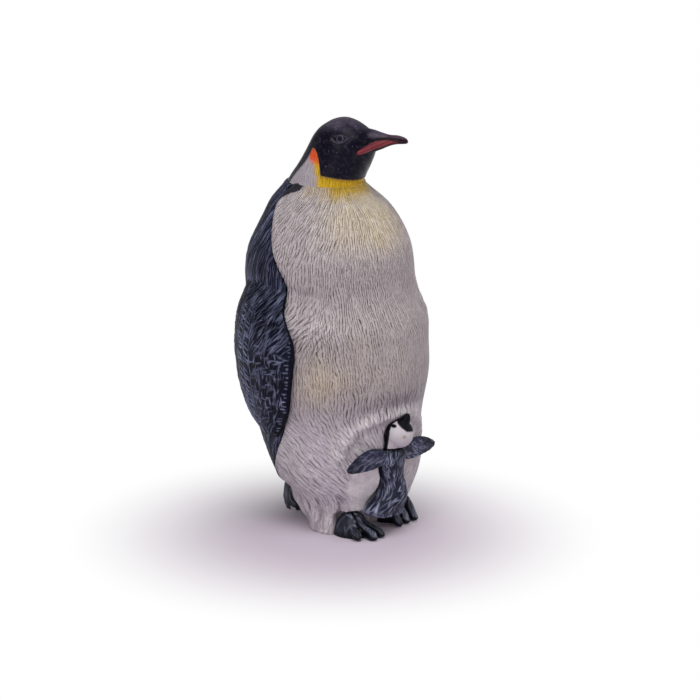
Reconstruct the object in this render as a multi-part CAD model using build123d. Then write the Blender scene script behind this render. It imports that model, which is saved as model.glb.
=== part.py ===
from build123d import *
import os
from math import cos, pi, radians, sin
from typing import NamedTuple

# Penguin figurine with a chick on its feet, moulded in plastic pieces that are pegged and cemented together.
# Millimetres. +Z is up, the belly faces -Y, and the figure's own left hand side is +X.
# Heights are measured from the surface that the figure stands on.


class Level(NamedTuple):
    height: float
    half_width: float
    front: float
    back: float
    side: float = 0.0


class BladeStation(NamedTuple):
    level: Level
    leading_angle: float
    trailing_angle: float
    thickness: float


class FoldStation(NamedTuple):
    level: Level
    rise: float
    angle: float
    sink: float


class HeadLevel(NamedTuple):
    rise: float
    forward: float
    half_length: float
    half_width: float


class BillStation(NamedTuple):
    forward: float
    rise: float
    half_height: float
    half_width: float


def above(lower, rise, half_width, front, back, side=0.0):
    """A level that stands a given rise above a lower one."""
    return Level(lower.height + rise, half_width, front, back, side)


# Fits that all the pieces share
shell_wall = 2.4
cement_gap = 0.15
peg_clearance = 0.1
socket_end_room = 0.3

# Torso outline from the floor up: reach to the front and to the back of the line under the crown
hem = Level(height=0.0, half_width=12.3, front=15.0, back=2.6)
ankle = above(hem, rise=4.1, half_width=13.2, front=15.0, back=5.6)
skirt = above(ankle, rise=2.7, half_width=14.6, front=15.6, back=8.7)
thigh = above(skirt, rise=7.2, half_width=17.4, front=17.5, back=13.0)
lower_belly = above(thigh, rise=7.0, half_width=17.8, front=17.8, back=17.4)
belly = above(lower_belly, rise=7.0, half_width=18.7, front=18.6, back=18.8)
broad_belly = above(belly, rise=7.0, half_width=19.5, front=19.7, back=19.7)
upper_belly = above(broad_belly, rise=8.0, half_width=19.6, front=19.5, back=20.4)
midriff = above(upper_belly, rise=6.5, half_width=19.0, front=17.2, back=20.8)
waist = above(midriff, rise=4.5, half_width=18.4, front=15.6, back=21.2)
breast = above(waist, rise=4.0, half_width=18.1, front=15.2, back=21.1)
upper_breast = above(breast, rise=4.8, half_width=16.8, front=14.0, back=19.4)
shoulder = above(upper_breast, rise=4.4, half_width=14.6, front=11.6, back=17.3)
throat = above(shoulder, rise=3.8, half_width=11.8, front=7.7, back=15.5)
collar = above(throat, rise=3.4, half_width=9.0, front=5.2, back=13.0)
torso_levels = [
    hem, ankle, skirt, thigh, lower_belly, belly, broad_belly, upper_belly,
    midriff, waist, breast, upper_breast, shoulder, throat, collar,
]
ring_points = 16

# Seam between the white breast shell and the dark back shell: angles from the belly's midline
seam_stations = [
    (hem, 140), (ankle, 138), (skirt, 128), (thigh, 108), (lower_belly, 88), (belly, 80), (broad_belly, 79),
    (upper_belly, 79), (midriff, 77), (waist, 73), (breast, 79), (upper_breast, 91), (shoulder, 100),
    (throat, 105), (collar, 101),
]
seam_pin_levels = [belly, upper_breast]
seam_pin_radius = 0.6
seam_pin_length = 1.6
seam_pin_inset = 1.5

# Recess under the breast shell that takes the feet, and the pocket that the chick stands in
foot_recess_back = 9.6
foot_recess_height = 5.4
foot_recess_corner = 2.0
pocket_clearance = 0.4

# Fold of loose skin that arches over the chick: angles from the belly's midline
fold_radius = 1.6
fold_stations = [
    FoldStation(thigh, rise=0.5, angle=-45, sink=2.6),
    FoldStation(thigh, rise=4.0, angle=-42, sink=1.3),
    FoldStation(lower_belly, rise=0.5, angle=-38, sink=0.7),
    FoldStation(lower_belly, rise=3.8, angle=-30, sink=0.6),
    FoldStation(lower_belly, rise=5.6, angle=-18, sink=0.6),
    FoldStation(lower_belly, rise=6.2, angle=-4, sink=0.6),
    FoldStation(lower_belly, rise=5.8, angle=10, sink=0.6),
    FoldStation(lower_belly, rise=4.0, angle=22, sink=0.6),
    FoldStation(lower_belly, rise=0.8, angle=31, sink=0.7),
    FoldStation(thigh, rise=4.0, angle=35, sink=1.3),
    FoldStation(thigh, rise=0.5, angle=36, sink=2.6),
]

# Head, turned to the figure's left
head_turn = 29.0
neck_back = 4.2
neck_plug_radius = 5.0
neck_plug_length = 4.5
head_levels = [
    HeadLevel(rise=0.0, forward=0.1, half_length=8.4, half_width=8.3),
    HeadLevel(rise=1.7, forward=0.9, half_length=8.1, half_width=7.7),
    HeadLevel(rise=3.7, forward=2.0, half_length=7.9, half_width=7.1),
    HeadLevel(rise=6.8, forward=3.5, half_length=7.6, half_width=6.5),
    HeadLevel(rise=9.4, forward=4.1, half_length=6.9, half_width=6.2),
    HeadLevel(rise=11.4, forward=4.2, half_length=5.6, half_width=5.1),
    HeadLevel(rise=12.85, forward=4.2, half_length=3.7, half_width=3.4),
    HeadLevel(rise=13.7, forward=4.2, half_length=1.9, half_width=1.8),
    HeadLevel(rise=14.0, forward=4.2, half_length=0.7, half_width=0.6),
]
bill_stations = [
    BillStation(forward=7.3, rise=9.1, half_height=2.9, half_width=3.4),
    BillStation(forward=11.0, rise=9.3, half_height=2.4, half_width=2.2),
    BillStation(forward=13.7, rise=9.5, half_height=1.5, half_width=1.4),
    BillStation(forward=16.2, rise=9.8, half_height=1.0, half_width=0.95),
    BillStation(forward=17.9, rise=9.7, half_height=0.7, half_width=0.65),
    BillStation(forward=18.5, rise=9.5, half_height=0.35, half_width=0.3),
]
eye_radius = 1.3
eye_forward = 5.0
eye_rise = 10.6
eye_sink = 1.0

# Flippers, laid against the sides: angles from the belly's midline
flipper_stations = [
    BladeStation(breast, leading_angle=79, trailing_angle=106, thickness=0.5),
    BladeStation(waist, leading_angle=73.5, trailing_angle=116, thickness=1.2),
    BladeStation(midriff, leading_angle=74.5, trailing_angle=123, thickness=2.1),
    BladeStation(upper_belly, leading_angle=72, trailing_angle=127, thickness=3.1),
    BladeStation(broad_belly, leading_angle=73, trailing_angle=127, thickness=3.3),
    BladeStation(belly, leading_angle=76.5, trailing_angle=120, thickness=2.8),
]
flipper_taper_drop = 3.6
flipper_taper_angles = (82, 112)
flipper_taper_thickness = 2.1
flipper_tip_drop = 2.9
flipper_tip_angles = (89, 101)
flipper_tip_thickness = 1.1
flipper_leading_share = 0.55
flipper_trailing_share = 0.9
flipper_crown_share = 0.15
flipper_sink = 1.5
flipper_peg_levels = [upper_belly, belly]
flipper_peg_angle = 98
flipper_peg_radius = 1.1

# Tail, a wide wedge behind the heels
tail_root_height = 10.0
tail_root_half_width = 5.6
tail_root_back = 11.6
tail_tip_half_width = 6.6
tail_tip_back = 14.2
tail_thickness = 8.6
tail_peg_radius = 1.2
tail_peg_length = 4.0
tail_peg_height = 3.2

# Feet: toe tips and roots are given from the heel, with the toes towards -Y
right_foot_side = 7.2
left_foot_side = 5.9
right_foot_heel = 8.8
left_foot_heel = 6.3
right_foot_turn = 0.0
left_foot_turn = 0.0
instep_half_width = 3.8
instep_half_length = 4.4
instep_height = 5.6
instep_forward = 2.8
right_toe_reaches = [8.7, 11.0, 10.5]
left_toe_reaches = [10.4, 10.0, 9.7]
toe_spread = 2.6
toe_root_radius = 1.4
toe_tip_radius = 0.9
toe_root_forward = 3.6
toe_root_height = 2.5
foot_peg_radius = 1.2
foot_peg_length = 1.8
foot_peg_forward = 2.2

# Chick
chick_side = -0.8
chick_front = 17.3
chick_hem = Level(height=4.4, half_width=4.6, front=2.0, back=3.0, side=-1.0)
chick_skirt = above(chick_hem, rise=2.2, half_width=5.4, front=2.9, back=3.0, side=-1.5)
chick_belly = above(chick_skirt, rise=3.0, half_width=3.7, front=3.2, back=2.9)
chick_waist = above(chick_belly, rise=3.9, half_width=2.6, front=2.4, back=2.4)
chick_chest = above(chick_waist, rise=2.9, half_width=3.0, front=2.8, back=2.4)
chick_neck = above(chick_chest, rise=2.4, half_width=2.3, front=2.2, back=1.8)
chick_levels = [chick_hem, chick_skirt, chick_belly, chick_waist, chick_chest, chick_neck]
chick_peg_radius = 0.9
chick_peg_rise = 1.0
chick_neck_peg_radius = 0.9
chick_neck_peg_length = 1.6
chick_head_radius = 3.1
chick_head_rise = 3.2
chick_head_side = 0.8
chick_head_forward = 1.7
chick_bill_radius = 1.1
chick_bill_length = 3.6
chick_bill_side = 0.42
chick_bill_rise = 1.4
wing_reach = 12.9
wing_root_side = 2.3
wing_drop = 1.0
right_wing_droop = 1.0
left_wing_droop = 0.2
wing_arch = 0.3
wing_sweep = 0.4
wing_forward = 0.5
wing_half_height = 1.9
wing_half_thickness = 0.7
wing_peg_radius = 0.55
wing_peg_length = 1.4

right = -1
left = 1


def torso_level(height):
    """The torso's outline at any height, eased between the named levels."""
    rows = torso_levels
    above = next((i for i, row in enumerate(rows) if row.height >= height), len(rows) - 1)
    above = max(above, 1)
    low, high = rows[above - 1], rows[above]
    before = rows[max(above - 2, 0)]
    after = rows[min(above + 1, len(rows) - 1)]
    span = high.height - low.height
    t = (height - low.height) / span

    def eased(name):
        y0, y1 = getattr(low, name), getattr(high, name)
        slope0 = (y1 - getattr(before, name)) / (high.height - before.height) * span
        slope1 = (getattr(after, name) - y0) / (after.height - low.height) * span
        return (
            (2 * t**3 - 3 * t**2 + 1) * y0
            + (t**3 - 2 * t**2 + t) * slope0
            + (-2 * t**3 + 3 * t**2) * y1
            + (t**3 - t**2) * slope1
        )

    return Level(height, eased("half_width"), eased("front"), eased("back"))


def level_centre(level):
    return (level.back - level.front) / 2


def level_point(level, angle, grow=0.0):
    """A point of a level's outline, at an angle from the belly's midline towards +X."""
    half_depth = (level.front + level.back) / 2 + grow
    x = level.side + (level.half_width + grow) * sin(radians(angle))
    y = level_centre(level) - half_depth * cos(radians(angle))
    return Vector(x, y, level.height)


def closed_outline(points):
    return make_face(Spline(*points, periodic=True))


def level_ring(level, grow=0.0):
    step = 360 / ring_points
    return closed_outline([level_point(level, i * step, grow) for i in range(ring_points)])


def peg(start, direction, length, radius):
    """A round peg that grows from start along direction."""
    seat = Plane(origin=start, z_dir=direction)
    return seat * Cylinder(radius, length, align=(Align.CENTER, Align.CENTER, Align.MIN))


def ellipsoid(centre, half_x, half_y, half_z):
    return Pos(*centre) * scale(Sphere(1), by=(half_x, half_y, half_z))


def block_between(low, high):
    size = [b - a for a, b in zip(low, high)]
    middle = [(a + b) / 2 for a, b in zip(low, high)]
    return Pos(*middle) * Box(*size)


# Torso envelope, its hollow and the two shells
def torso_body(grow=0.0):
    return loft([level_ring(level, grow) for level in torso_levels])


def torso_hollow():
    """The room inside the shells: above the solid foot, and below the thick neck ring."""
    floor = foot_recess_height + shell_wall
    ceiling = collar.height - neck_plug_length
    inner = [level for level in torso_levels if floor < level.height < ceiling]
    rows = [torso_level(floor), *inner, torso_level(ceiling)]
    room = loft([level_ring(level, -shell_wall) for level in rows])
    for pocket in chick_pockets(shell_wall):
        room -= pocket
    return room


def chick_pockets(grow=0.0):
    """Hollows in the lower belly that the chick backs into, a clearance wider than its head, trunk and neck."""
    room = pocket_clearance + grow
    top = chick_neck._replace(height=chick_neck.height + room)
    rows = [chick_hem._replace(height=hem.height - grow), *chick_levels[:-1], top]
    trunk = loft([chick_ring(level, room) for level in rows])
    return [Pos(*chick_head_centre()) * Sphere(chick_head_radius + room), trunk, chick_neck_solid(room)]


def skin_fold():
    """A round ridge laid over the belly, sunk into it and fading out at both ends."""
    path = Spline(
        *[level_point(torso_level(row.level.height + row.rise), row.angle, -row.sink) for row in fold_stations]
    )
    seat = Plane(origin=path @ 0, z_dir=path % 0)
    return sweep(seat * Circle(fold_radius), path=path)


def foot_recess(inset=0.0):
    """The step under the front of the torso, where the feet come out."""
    reach = hem.front + thigh.front
    rear, roof = -foot_recess_back - inset, foot_recess_height - inset
    corner = (rear - foot_recess_corner, roof), (rear, roof - foot_recess_corner)
    border = Polyline(corner[1], (rear, -shell_wall), (-reach, -shell_wall), (-reach, roof), corner[0])
    bend = RadiusArc(corner[0], corner[1], foot_recess_corner)
    step = make_face(Plane.YZ * (border + bend))
    return extrude(step, broad_belly.half_width, both=True, dir=(1, 0, 0))


def front_side():
    """Everything in front of the seam line, as seen from the side."""
    line = [level_point(level, angle) for level, angle in seam_stations]
    path = Spline(*[(0, p.Y, p.Z) for p in line])
    low, high = line[0], line[-1]
    reach = -2 * broad_belly.front
    border = Polyline(
        (0, high.Y, high.Z), (0, high.Y, high.Z + shell_wall), (0, reach, high.Z + shell_wall),
        (0, reach, -shell_wall), (0, low.Y, -shell_wall), (0, low.Y, low.Z),
    )
    return extrude(make_face(path + border), 2 * broad_belly.half_width, both=True, dir=(1, 0, 0))


def seam_pins(radius, length, start_back):
    """Locating pins along the rim of the back shell, in the middle of its wall."""
    pins = []
    for level, angle in seam_stations:
        if level in seam_pin_levels:
            rim = level_point(level, angle, -seam_pin_inset)
            for side in (right, left):
                pins.append(peg((side * rim.X, rim.Y + start_back, rim.Z), (0, -1, 0), length, radius))
    return pins


def torso_shells():
    walls = torso_body() + skin_fold() - torso_hollow() - foot_recess()
    for room in [*chick_pockets(), *[wing_blade(side, pocket_clearance) for side in (right, left)]]:
        walls -= room
    walls -= neck_plug(neck_plug_radius + peg_clearance, neck_plug_length + socket_end_room)
    front = front_side()
    breast_shell = walls & front
    back_shell = walls - front
    for pin in seam_pins(seam_pin_radius, 2 * seam_pin_length, seam_pin_length):
        back_shell += pin
    hole_length = 2 * seam_pin_length + socket_end_room
    for hole in seam_pins(seam_pin_radius + peg_clearance, hole_length, seam_pin_length):
        breast_shell -= hole
    return breast_shell, back_shell


# Head and bill
def head_point(forward, side, rise):
    """A point on the turned head: forward along the bill, side to the figure's left, rise above the collar."""
    turn = radians(head_turn)
    x = forward * sin(turn) + side * cos(turn)
    y = neck_back - forward * cos(turn) + side * sin(turn)
    return Vector(x, y, collar.height + rise)


def neck_plug(radius, length):
    return peg((0, neck_back, collar.height), (0, 0, -1), length, radius)


def head_ring(row):
    angles = [2 * pi * i / ring_points for i in range(ring_points)]
    return closed_outline(
        [
            head_point(row.forward + row.half_length * cos(a), row.half_width * sin(a), row.rise)
            for a in angles
        ]
    )


def bill_ring(row):
    angles = [2 * pi * i / ring_points for i in range(ring_points)]
    return closed_outline(
        [
            head_point(row.forward, row.half_width * sin(a), row.rise + row.half_height * cos(a))
            for a in angles
        ]
    )


def skull_half_width(forward, rise):
    """How far the skull reaches sideways at a place along the bill's line."""
    upper = next((row for row in head_levels[1:] if row.rise >= rise), head_levels[-1])
    lower = head_levels[head_levels.index(upper) - 1]
    share = min((rise - lower.rise) / (upper.rise - lower.rise), 1.0)
    middle, length, width = [
        getattr(lower, name) + share * (getattr(upper, name) - getattr(lower, name))
        for name in ("forward", "half_length", "half_width")
    ]
    off = min(abs(forward - middle) / length, 1.0)
    return width * (1 - off**2) ** 0.5


def make_head():
    head = loft([head_ring(row) for row in head_levels])
    head += loft([bill_ring(row) for row in bill_stations])
    eye_side = skull_half_width(eye_forward, eye_rise) - eye_sink
    for side in (right, left):
        head += Pos(*head_point(eye_forward, side * eye_side, eye_rise)) * Sphere(eye_radius)
    return head + neck_plug(neck_plug_radius, neck_plug_length)


# Flippers
def blade_stations():
    """The named stations, then the taper and the tip that hang below the last of them."""
    taper_height = flipper_stations[-1].level.height - flipper_taper_drop
    taper = BladeStation(torso_level(taper_height), *flipper_taper_angles, flipper_taper_thickness)
    tip_level = torso_level(taper_height - flipper_tip_drop)
    tip = BladeStation(tip_level, *flipper_tip_angles, flipper_tip_thickness)
    return [*flipper_stations, taper, tip]


def flipper_outline(row):
    def at(share, grow):
        angle = row.leading_angle + share * (row.trailing_angle - row.leading_angle)
        return level_point(row.level, angle, grow)

    def crown(share):
        edge = flipper_leading_share + share * (flipper_trailing_share - flipper_leading_share)
        return at(share, row.thickness * (edge + flipper_crown_share * sin(pi * share)))

    outer = Spline(crown(0), crown(0.25), crown(0.5), crown(0.75), crown(1))
    inner = Spline(at(1, -flipper_sink), at(0.5, -flipper_sink), at(0, -flipper_sink))
    trailing_edge = Line(outer @ 1, inner @ 0)
    leading_edge = Line(inner @ 1, outer @ 0)
    return make_face([outer, trailing_edge, inner, leading_edge])


def flipper_peg(level, radius, length):
    seat = level_point(level, flipper_peg_angle)
    return peg((seat.X + cement_gap + flipper_sink / 2, seat.Y, seat.Z), (-1, 0, 0), length, radius)


def make_flipper():
    """The figure's left flipper: a curved blade that hugs the torso, with pegs through the shell."""
    blade = loft([flipper_outline(row) for row in blade_stations()]) - torso_body(cement_gap)
    length = flipper_sink / 2 + cement_gap + shell_wall
    for level in flipper_peg_levels:
        blade += flipper_peg(level, flipper_peg_radius, length)
    return blade


def flipper_sockets():
    length = 2 * shell_wall + flipper_sink
    return [flipper_peg(level, flipper_peg_radius + peg_clearance, length) for level in flipper_peg_levels]


# Tail
def tail_peg(radius, length):
    start = tail_tip_back - tail_thickness / 2
    reach = start - torso_level(tail_peg_height).back
    return peg((0, start, tail_peg_height), (0, -1, 0), reach + length, radius)


def make_tail():
    half = tail_thickness / 2
    middle_height = tail_root_height / 2
    rows = [
        Level(0.0, tail_tip_half_width, tail_thickness - tail_tip_back, tail_tip_back),
        Level(
            middle_height,
            (tail_tip_half_width + tail_root_half_width) / 2,
            tail_thickness - (tail_tip_back + tail_root_back) / 2,
            (tail_tip_back + tail_root_back) / 2,
        ),
        Level(tail_root_height, tail_root_half_width, half - tail_root_back, tail_root_back),
    ]
    wedge = loft([level_ring(row) for row in rows]) - torso_body(cement_gap)
    return wedge + tail_peg(tail_peg_radius, tail_peg_length)


# Feet
def toe_solid(reach, side, grow):
    """One toe: a tapered round finger from the instep down to its tip, flat underneath."""
    root = Vector(side * toe_spread / 2, -toe_root_forward, toe_root_height)
    tip = Vector(side * toe_spread, -reach + toe_tip_radius, toe_tip_radius)
    along = tip - root
    length = along.length
    root_radius, tip_radius = toe_root_radius + grow, toe_tip_radius + grow
    profile = Spline(
        (0, -root_radius), (root_radius, 0), ((root_radius + tip_radius) / 2, length / 2),
        (tip_radius, length), (0, length + tip_radius),
    )
    half = make_face(profile + Line(profile @ 1, profile @ 0))
    finger = revolve(half, Axis.Y)
    frame = Plane(origin=root, x_dir=along.cross(Vector(0, 0, 1)), z_dir=along)
    return frame * (Rot(90, 0, 0) * finger)


def foot_solid(side, grow=0.0):
    """A foot with its heel at the origin and three toes towards -Y."""
    reaches = right_toe_reaches if side == right else left_toe_reaches
    foot = ellipsoid(
        (0, -instep_forward, 0), instep_half_width + grow, instep_half_length + grow, instep_height + grow
    )
    for place, reach in zip((-1, 0, 1), reaches):
        foot += toe_solid(reach, place, grow)
    deep = instep_half_length * 4
    return foot - block_between((-deep, -deep, -deep), (deep, deep, 0))


def foot_side(side):
    return -right_foot_side if side == right else left_foot_side


def foot_place(side):
    heel, turn = (right_foot_heel, right_foot_turn) if side == right else (left_foot_heel, left_foot_turn)
    return Pos(foot_side(side), -heel, 0) * Rot(0, 0, turn)


def foot_peg(side, radius, length):
    """A peg on top of the instep, up into the roof of the recess."""
    start = Vector(foot_side(side), -foot_recess_back - foot_peg_forward, instep_height / 2)
    return peg(start, (0, 0, 1), foot_recess_height - start.Z + length, radius)


def make_foot(side):
    foot = foot_place(side) * foot_solid(side) & foot_recess(cement_gap)
    return foot + foot_peg(side, foot_peg_radius, foot_peg_length)


# Chick
def chick_at(side, front, height):
    return Vector(chick_side + side, -chick_front - front, height)


def chick_ring(level, grow=0.0):
    moved = [level_point(level, 360 * i / ring_points, grow) for i in range(ring_points)]
    return closed_outline([p + Vector(chick_side, -chick_front, 0) for p in moved])


def chick_back_peg(radius, length):
    """A peg from the chick's back into the wall of the pocket."""
    height = chick_belly.height + chick_peg_rise
    return peg(chick_at(0, 0, height), (0, 1, 0), chick_belly.back + pocket_clearance + length, radius)


def chick_neck_peg(radius, length):
    return peg(chick_at(0, 0, chick_neck.height + cement_gap), (0, 0, -1), length, radius)


def wing_height():
    return chick_neck.height - wing_drop


def wing_peg(side, radius, length):
    start = chick_at(side * wing_root_side, wing_forward, wing_height())
    return peg(start, (-side, 0, 0), length, radius)


def chick_trunk():
    return loft([chick_ring(level) for level in chick_levels])


def make_chick_body():
    body = chick_trunk()
    for side in (right, left):
        body -= foot_place(side) * foot_solid(side, cement_gap)
        body -= wing_blade(side, cement_gap)
        body -= wing_peg(side, wing_peg_radius + peg_clearance, wing_peg_length + socket_end_room)
    body -= chick_neck_peg(chick_neck_peg_radius + peg_clearance, chick_neck_peg_length + socket_end_room)
    return body + chick_back_peg(chick_peg_radius, shell_wall)


def chick_head_centre():
    return chick_at(chick_head_side, chick_head_forward, chick_neck.height + chick_head_rise)


def chick_neck_solid(grow=0.0):
    """From the neck of the body up into the middle of the head."""
    foot = chick_ring(chick_neck._replace(height=chick_neck.height + cement_gap - grow))
    middle = Pos(*chick_head_centre()) * Circle(chick_head_radius * 0.9 + grow)
    return loft([foot, middle])


def make_chick_head():
    """A round head that looks up, with a short bill and a neck that sits on the body."""
    centre = chick_head_centre()
    head = Pos(*centre) * Sphere(chick_head_radius)
    direction = Vector(chick_bill_side, -chick_bill_side, chick_bill_rise)
    bill_seat = Plane(origin=centre, z_dir=direction)
    bill_half = (chick_head_radius + chick_bill_length / 2) / 2
    head += bill_seat * (Pos(0, 0, bill_half) * scale(
        Sphere(1), by=(chick_bill_radius, chick_bill_radius, bill_half)
    ))
    head += chick_neck_solid()
    head -= block_between(
        (centre.X - chick_head_radius * 2, centre.Y - chick_head_radius * 2, 0),
        (centre.X + chick_head_radius * 2, centre.Y + chick_head_radius * 2, chick_neck.height + cement_gap),
    )
    return head + chick_neck_peg(chick_neck_peg_radius, chick_neck_peg_length)


def wing_blade(side, grow=0.0):
    """A flat rounded blade held out to one side."""
    droop = right_wing_droop if side == right else left_wing_droop
    shares = [(0.0, 0.75), (0.3, 1.0), (0.6, 0.9), (0.85, 0.6), (1.0, 0.22)]
    rings = []
    for along, width in shares:
        reach = wing_root_side + along * (wing_reach - wing_root_side)
        height = wing_height() - droop * along**2 + wing_arch * sin(pi * along)
        centre = chick_at(side * reach, wing_forward - wing_sweep * along, height)
        half_height = wing_half_height * width + grow
        half_thickness = wing_half_thickness * (1 - along / 2) + grow
        angles = [2 * pi * i / ring_points for i in range(ring_points)]
        rings.append(
            closed_outline(
                [centre + Vector(0, half_thickness * sin(a), half_height * cos(a)) for a in angles]
            )
        )
    return loft(rings)


def make_wing(side):
    return wing_blade(side) + wing_peg(side, wing_peg_radius, wing_peg_length)


def make_pieces():
    breast_shell, back_shell = torso_shells()
    left_flipper = make_flipper()
    right_flipper = mirror(left_flipper, about=Plane.YZ)
    for socket in flipper_sockets():
        back_shell -= socket
        back_shell -= mirror(socket, about=Plane.YZ)
    tail_socket = tail_peg(tail_peg_radius + peg_clearance, tail_peg_length + socket_end_room)
    back_shell -= tail_socket
    breast_shell -= tail_socket
    for side in (right, left):
        breast_shell -= foot_peg(side, foot_peg_radius + peg_clearance, foot_peg_length + socket_end_room)
    breast_shell -= chick_back_peg(chick_peg_radius + peg_clearance, 2 * shell_wall)
    return {
        "breast_shell": breast_shell,
        "back_shell": back_shell,
        "head": make_head(),
        "right_flipper": right_flipper,
        "left_flipper": left_flipper,
        "tail": make_tail(),
        "right_foot": make_foot(right),
        "left_foot": make_foot(left),
        "chick_body": make_chick_body(),
        "chick_head": make_chick_head(),
        "chick_right_wing": make_wing(right),
        "chick_left_wing": make_wing(left),
    }


def write_pieces(pieces):
    """The origin is set on the floor, under the middle of the whole figure's box."""
    box = Compound(children=[Compound(piece.solids()) for piece in pieces.values()]).bounding_box()
    middle = box.center()
    to_origin = Pos(-middle.X, -middle.Y, -box.min.Z)
    print("origin shift", round(-middle.X, 3), round(-middle.Y, 3), round(-box.min.Z, 3))
    os.makedirs("parts", exist_ok=True)
    for name, piece in pieces.items():
        solids = piece.solids()
        print(name, len(solids), "solid", round(sum(solid.volume for solid in solids), 1), "mm3")
        export_step(to_origin * Compound(solids), f"parts/{name}.step")


write_pieces(make_pieces())
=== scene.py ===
import math
import bpy
import numpy as np
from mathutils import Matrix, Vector
from mathutils.bvhtree import BVHTree


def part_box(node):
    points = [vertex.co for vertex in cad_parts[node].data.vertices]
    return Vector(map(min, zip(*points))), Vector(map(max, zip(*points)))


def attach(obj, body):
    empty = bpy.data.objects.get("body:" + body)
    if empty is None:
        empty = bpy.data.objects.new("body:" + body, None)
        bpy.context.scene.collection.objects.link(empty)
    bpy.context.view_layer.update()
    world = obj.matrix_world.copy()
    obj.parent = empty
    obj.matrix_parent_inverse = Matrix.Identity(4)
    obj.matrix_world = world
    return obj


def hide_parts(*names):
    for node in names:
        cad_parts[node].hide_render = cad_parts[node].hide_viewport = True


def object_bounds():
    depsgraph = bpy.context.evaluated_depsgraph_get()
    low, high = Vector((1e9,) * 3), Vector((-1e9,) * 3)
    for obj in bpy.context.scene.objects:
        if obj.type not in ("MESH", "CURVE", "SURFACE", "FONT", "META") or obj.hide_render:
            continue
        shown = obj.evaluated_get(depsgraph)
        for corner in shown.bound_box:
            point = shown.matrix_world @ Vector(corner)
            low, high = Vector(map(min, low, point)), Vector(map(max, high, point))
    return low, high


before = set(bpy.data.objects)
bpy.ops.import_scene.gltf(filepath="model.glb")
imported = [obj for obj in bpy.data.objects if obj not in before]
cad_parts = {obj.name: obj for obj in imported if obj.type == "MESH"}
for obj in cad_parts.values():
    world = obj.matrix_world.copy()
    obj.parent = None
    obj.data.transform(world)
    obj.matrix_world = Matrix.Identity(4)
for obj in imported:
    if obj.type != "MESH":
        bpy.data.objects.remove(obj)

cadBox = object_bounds()
mm = 0.001
scene = bpy.context.scene
scene.view_settings.view_transform = "Standard"
print("frame loaded:", len(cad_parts), "nodes")


# places that several pieces share, in millimetres
figure = {
    "axisY": 0.41,          # line under the crown
    "unrollRadius": 18.0,   # torso strokes are planned on a sheet rolled round this radius
    "neck": (0.0, 4.61, 74.4),
    "headTurn": 29.0,       # degrees, to the figure's left
    "sheet": ((-62, -1), (62, 77)),
    # both shells draw in beside the tail: height and degrees from the midline, each with its spread
    "tuckHeight": (8.3, 2.5), "tuckTurn": (98.0, 20.0), "tuckDepth": 1.9,
}


def smooth(low, high, value):
    t = np.clip((value - low) / (high - low), 0.0, 1.0)
    return t * t * (3 - 2 * t)


def bump(value, middle, width):
    return np.exp(-(((value - middle) / width) ** 2))


def cloud(x, y, cell, seed, many=128):  # soft blotches from 0 to 1
    lattice = np.random.default_rng(seed).random((many, many))
    gx, gy = x / cell + 1000.0, y / cell + 1000.0
    ix, iy = np.floor(gx).astype(int), np.floor(gy).astype(int)
    fx, fy = smooth(0, 1, gx - ix), smooth(0, 1, gy - iy)
    left, right, under, over = ix % many, (ix + 1) % many, iy % many, (iy + 1) % many
    low = lattice[left, under] * (1 - fx) + lattice[right, under] * fx
    high = lattice[left, over] * (1 - fx) + lattice[right, over] * fx
    return low * (1 - fy) + high * fy


def ripple(x, y, cell, seed):  # the same blotches, swinging round zero
    return cloud(x, y, cell, seed) - 0.5


def pathGap(x, y, path):  # distance from points to a polyline, and the share along it
    best = np.full(len(x), 1e9)
    share = np.zeros(len(x))
    for k in range(len(path) - 1):
        ax, ay = path[k]
        bx, by = path[k + 1]
        dx, dy = bx - ax, by - ay
        t = np.clip(((x - ax) * dx + (y - ay) * dy) / (dx * dx + dy * dy), 0, 1)
        gap = np.hypot(x - ax - t * dx, y - ay - t * dy)
        near = gap < best
        best[near] = gap[near]
        share[near] = (k + t[near]) / (len(path) - 1)
    return best, share


def insideOutline(x, y, outline):  # even-odd test
    hit = np.zeros(len(x), bool)
    for k in range(len(outline)):
        ax, ay = outline[k - 1]
        bx, by = outline[k]
        crosses = (ay > y) != (by > y)
        slope = (bx - ax) / (by - ay) if by != ay else 0.0
        hit ^= crosses & (x < ax + (y - ay) * slope)
    return hit


def softOutline(x, y, outline, edge):  # 1 inside, 0 outside, blurred over the edge width
    gap, _ = pathGap(x, y, [*outline, outline[0]])
    signed = np.where(insideOutline(x, y, outline), gap, -gap)
    return smooth(-edge, edge, signed)


# a stroke sheet is a flat grid of tool marks, read back at each vertex
def blankSheet(low, high, cell=0.1):
    columns = int((high[0] - low[0]) / cell) + 1
    rows = int((high[1] - low[1]) / cell) + 1
    return {"low": low, "cell": cell, "grid": np.zeros((columns, rows))}


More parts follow.
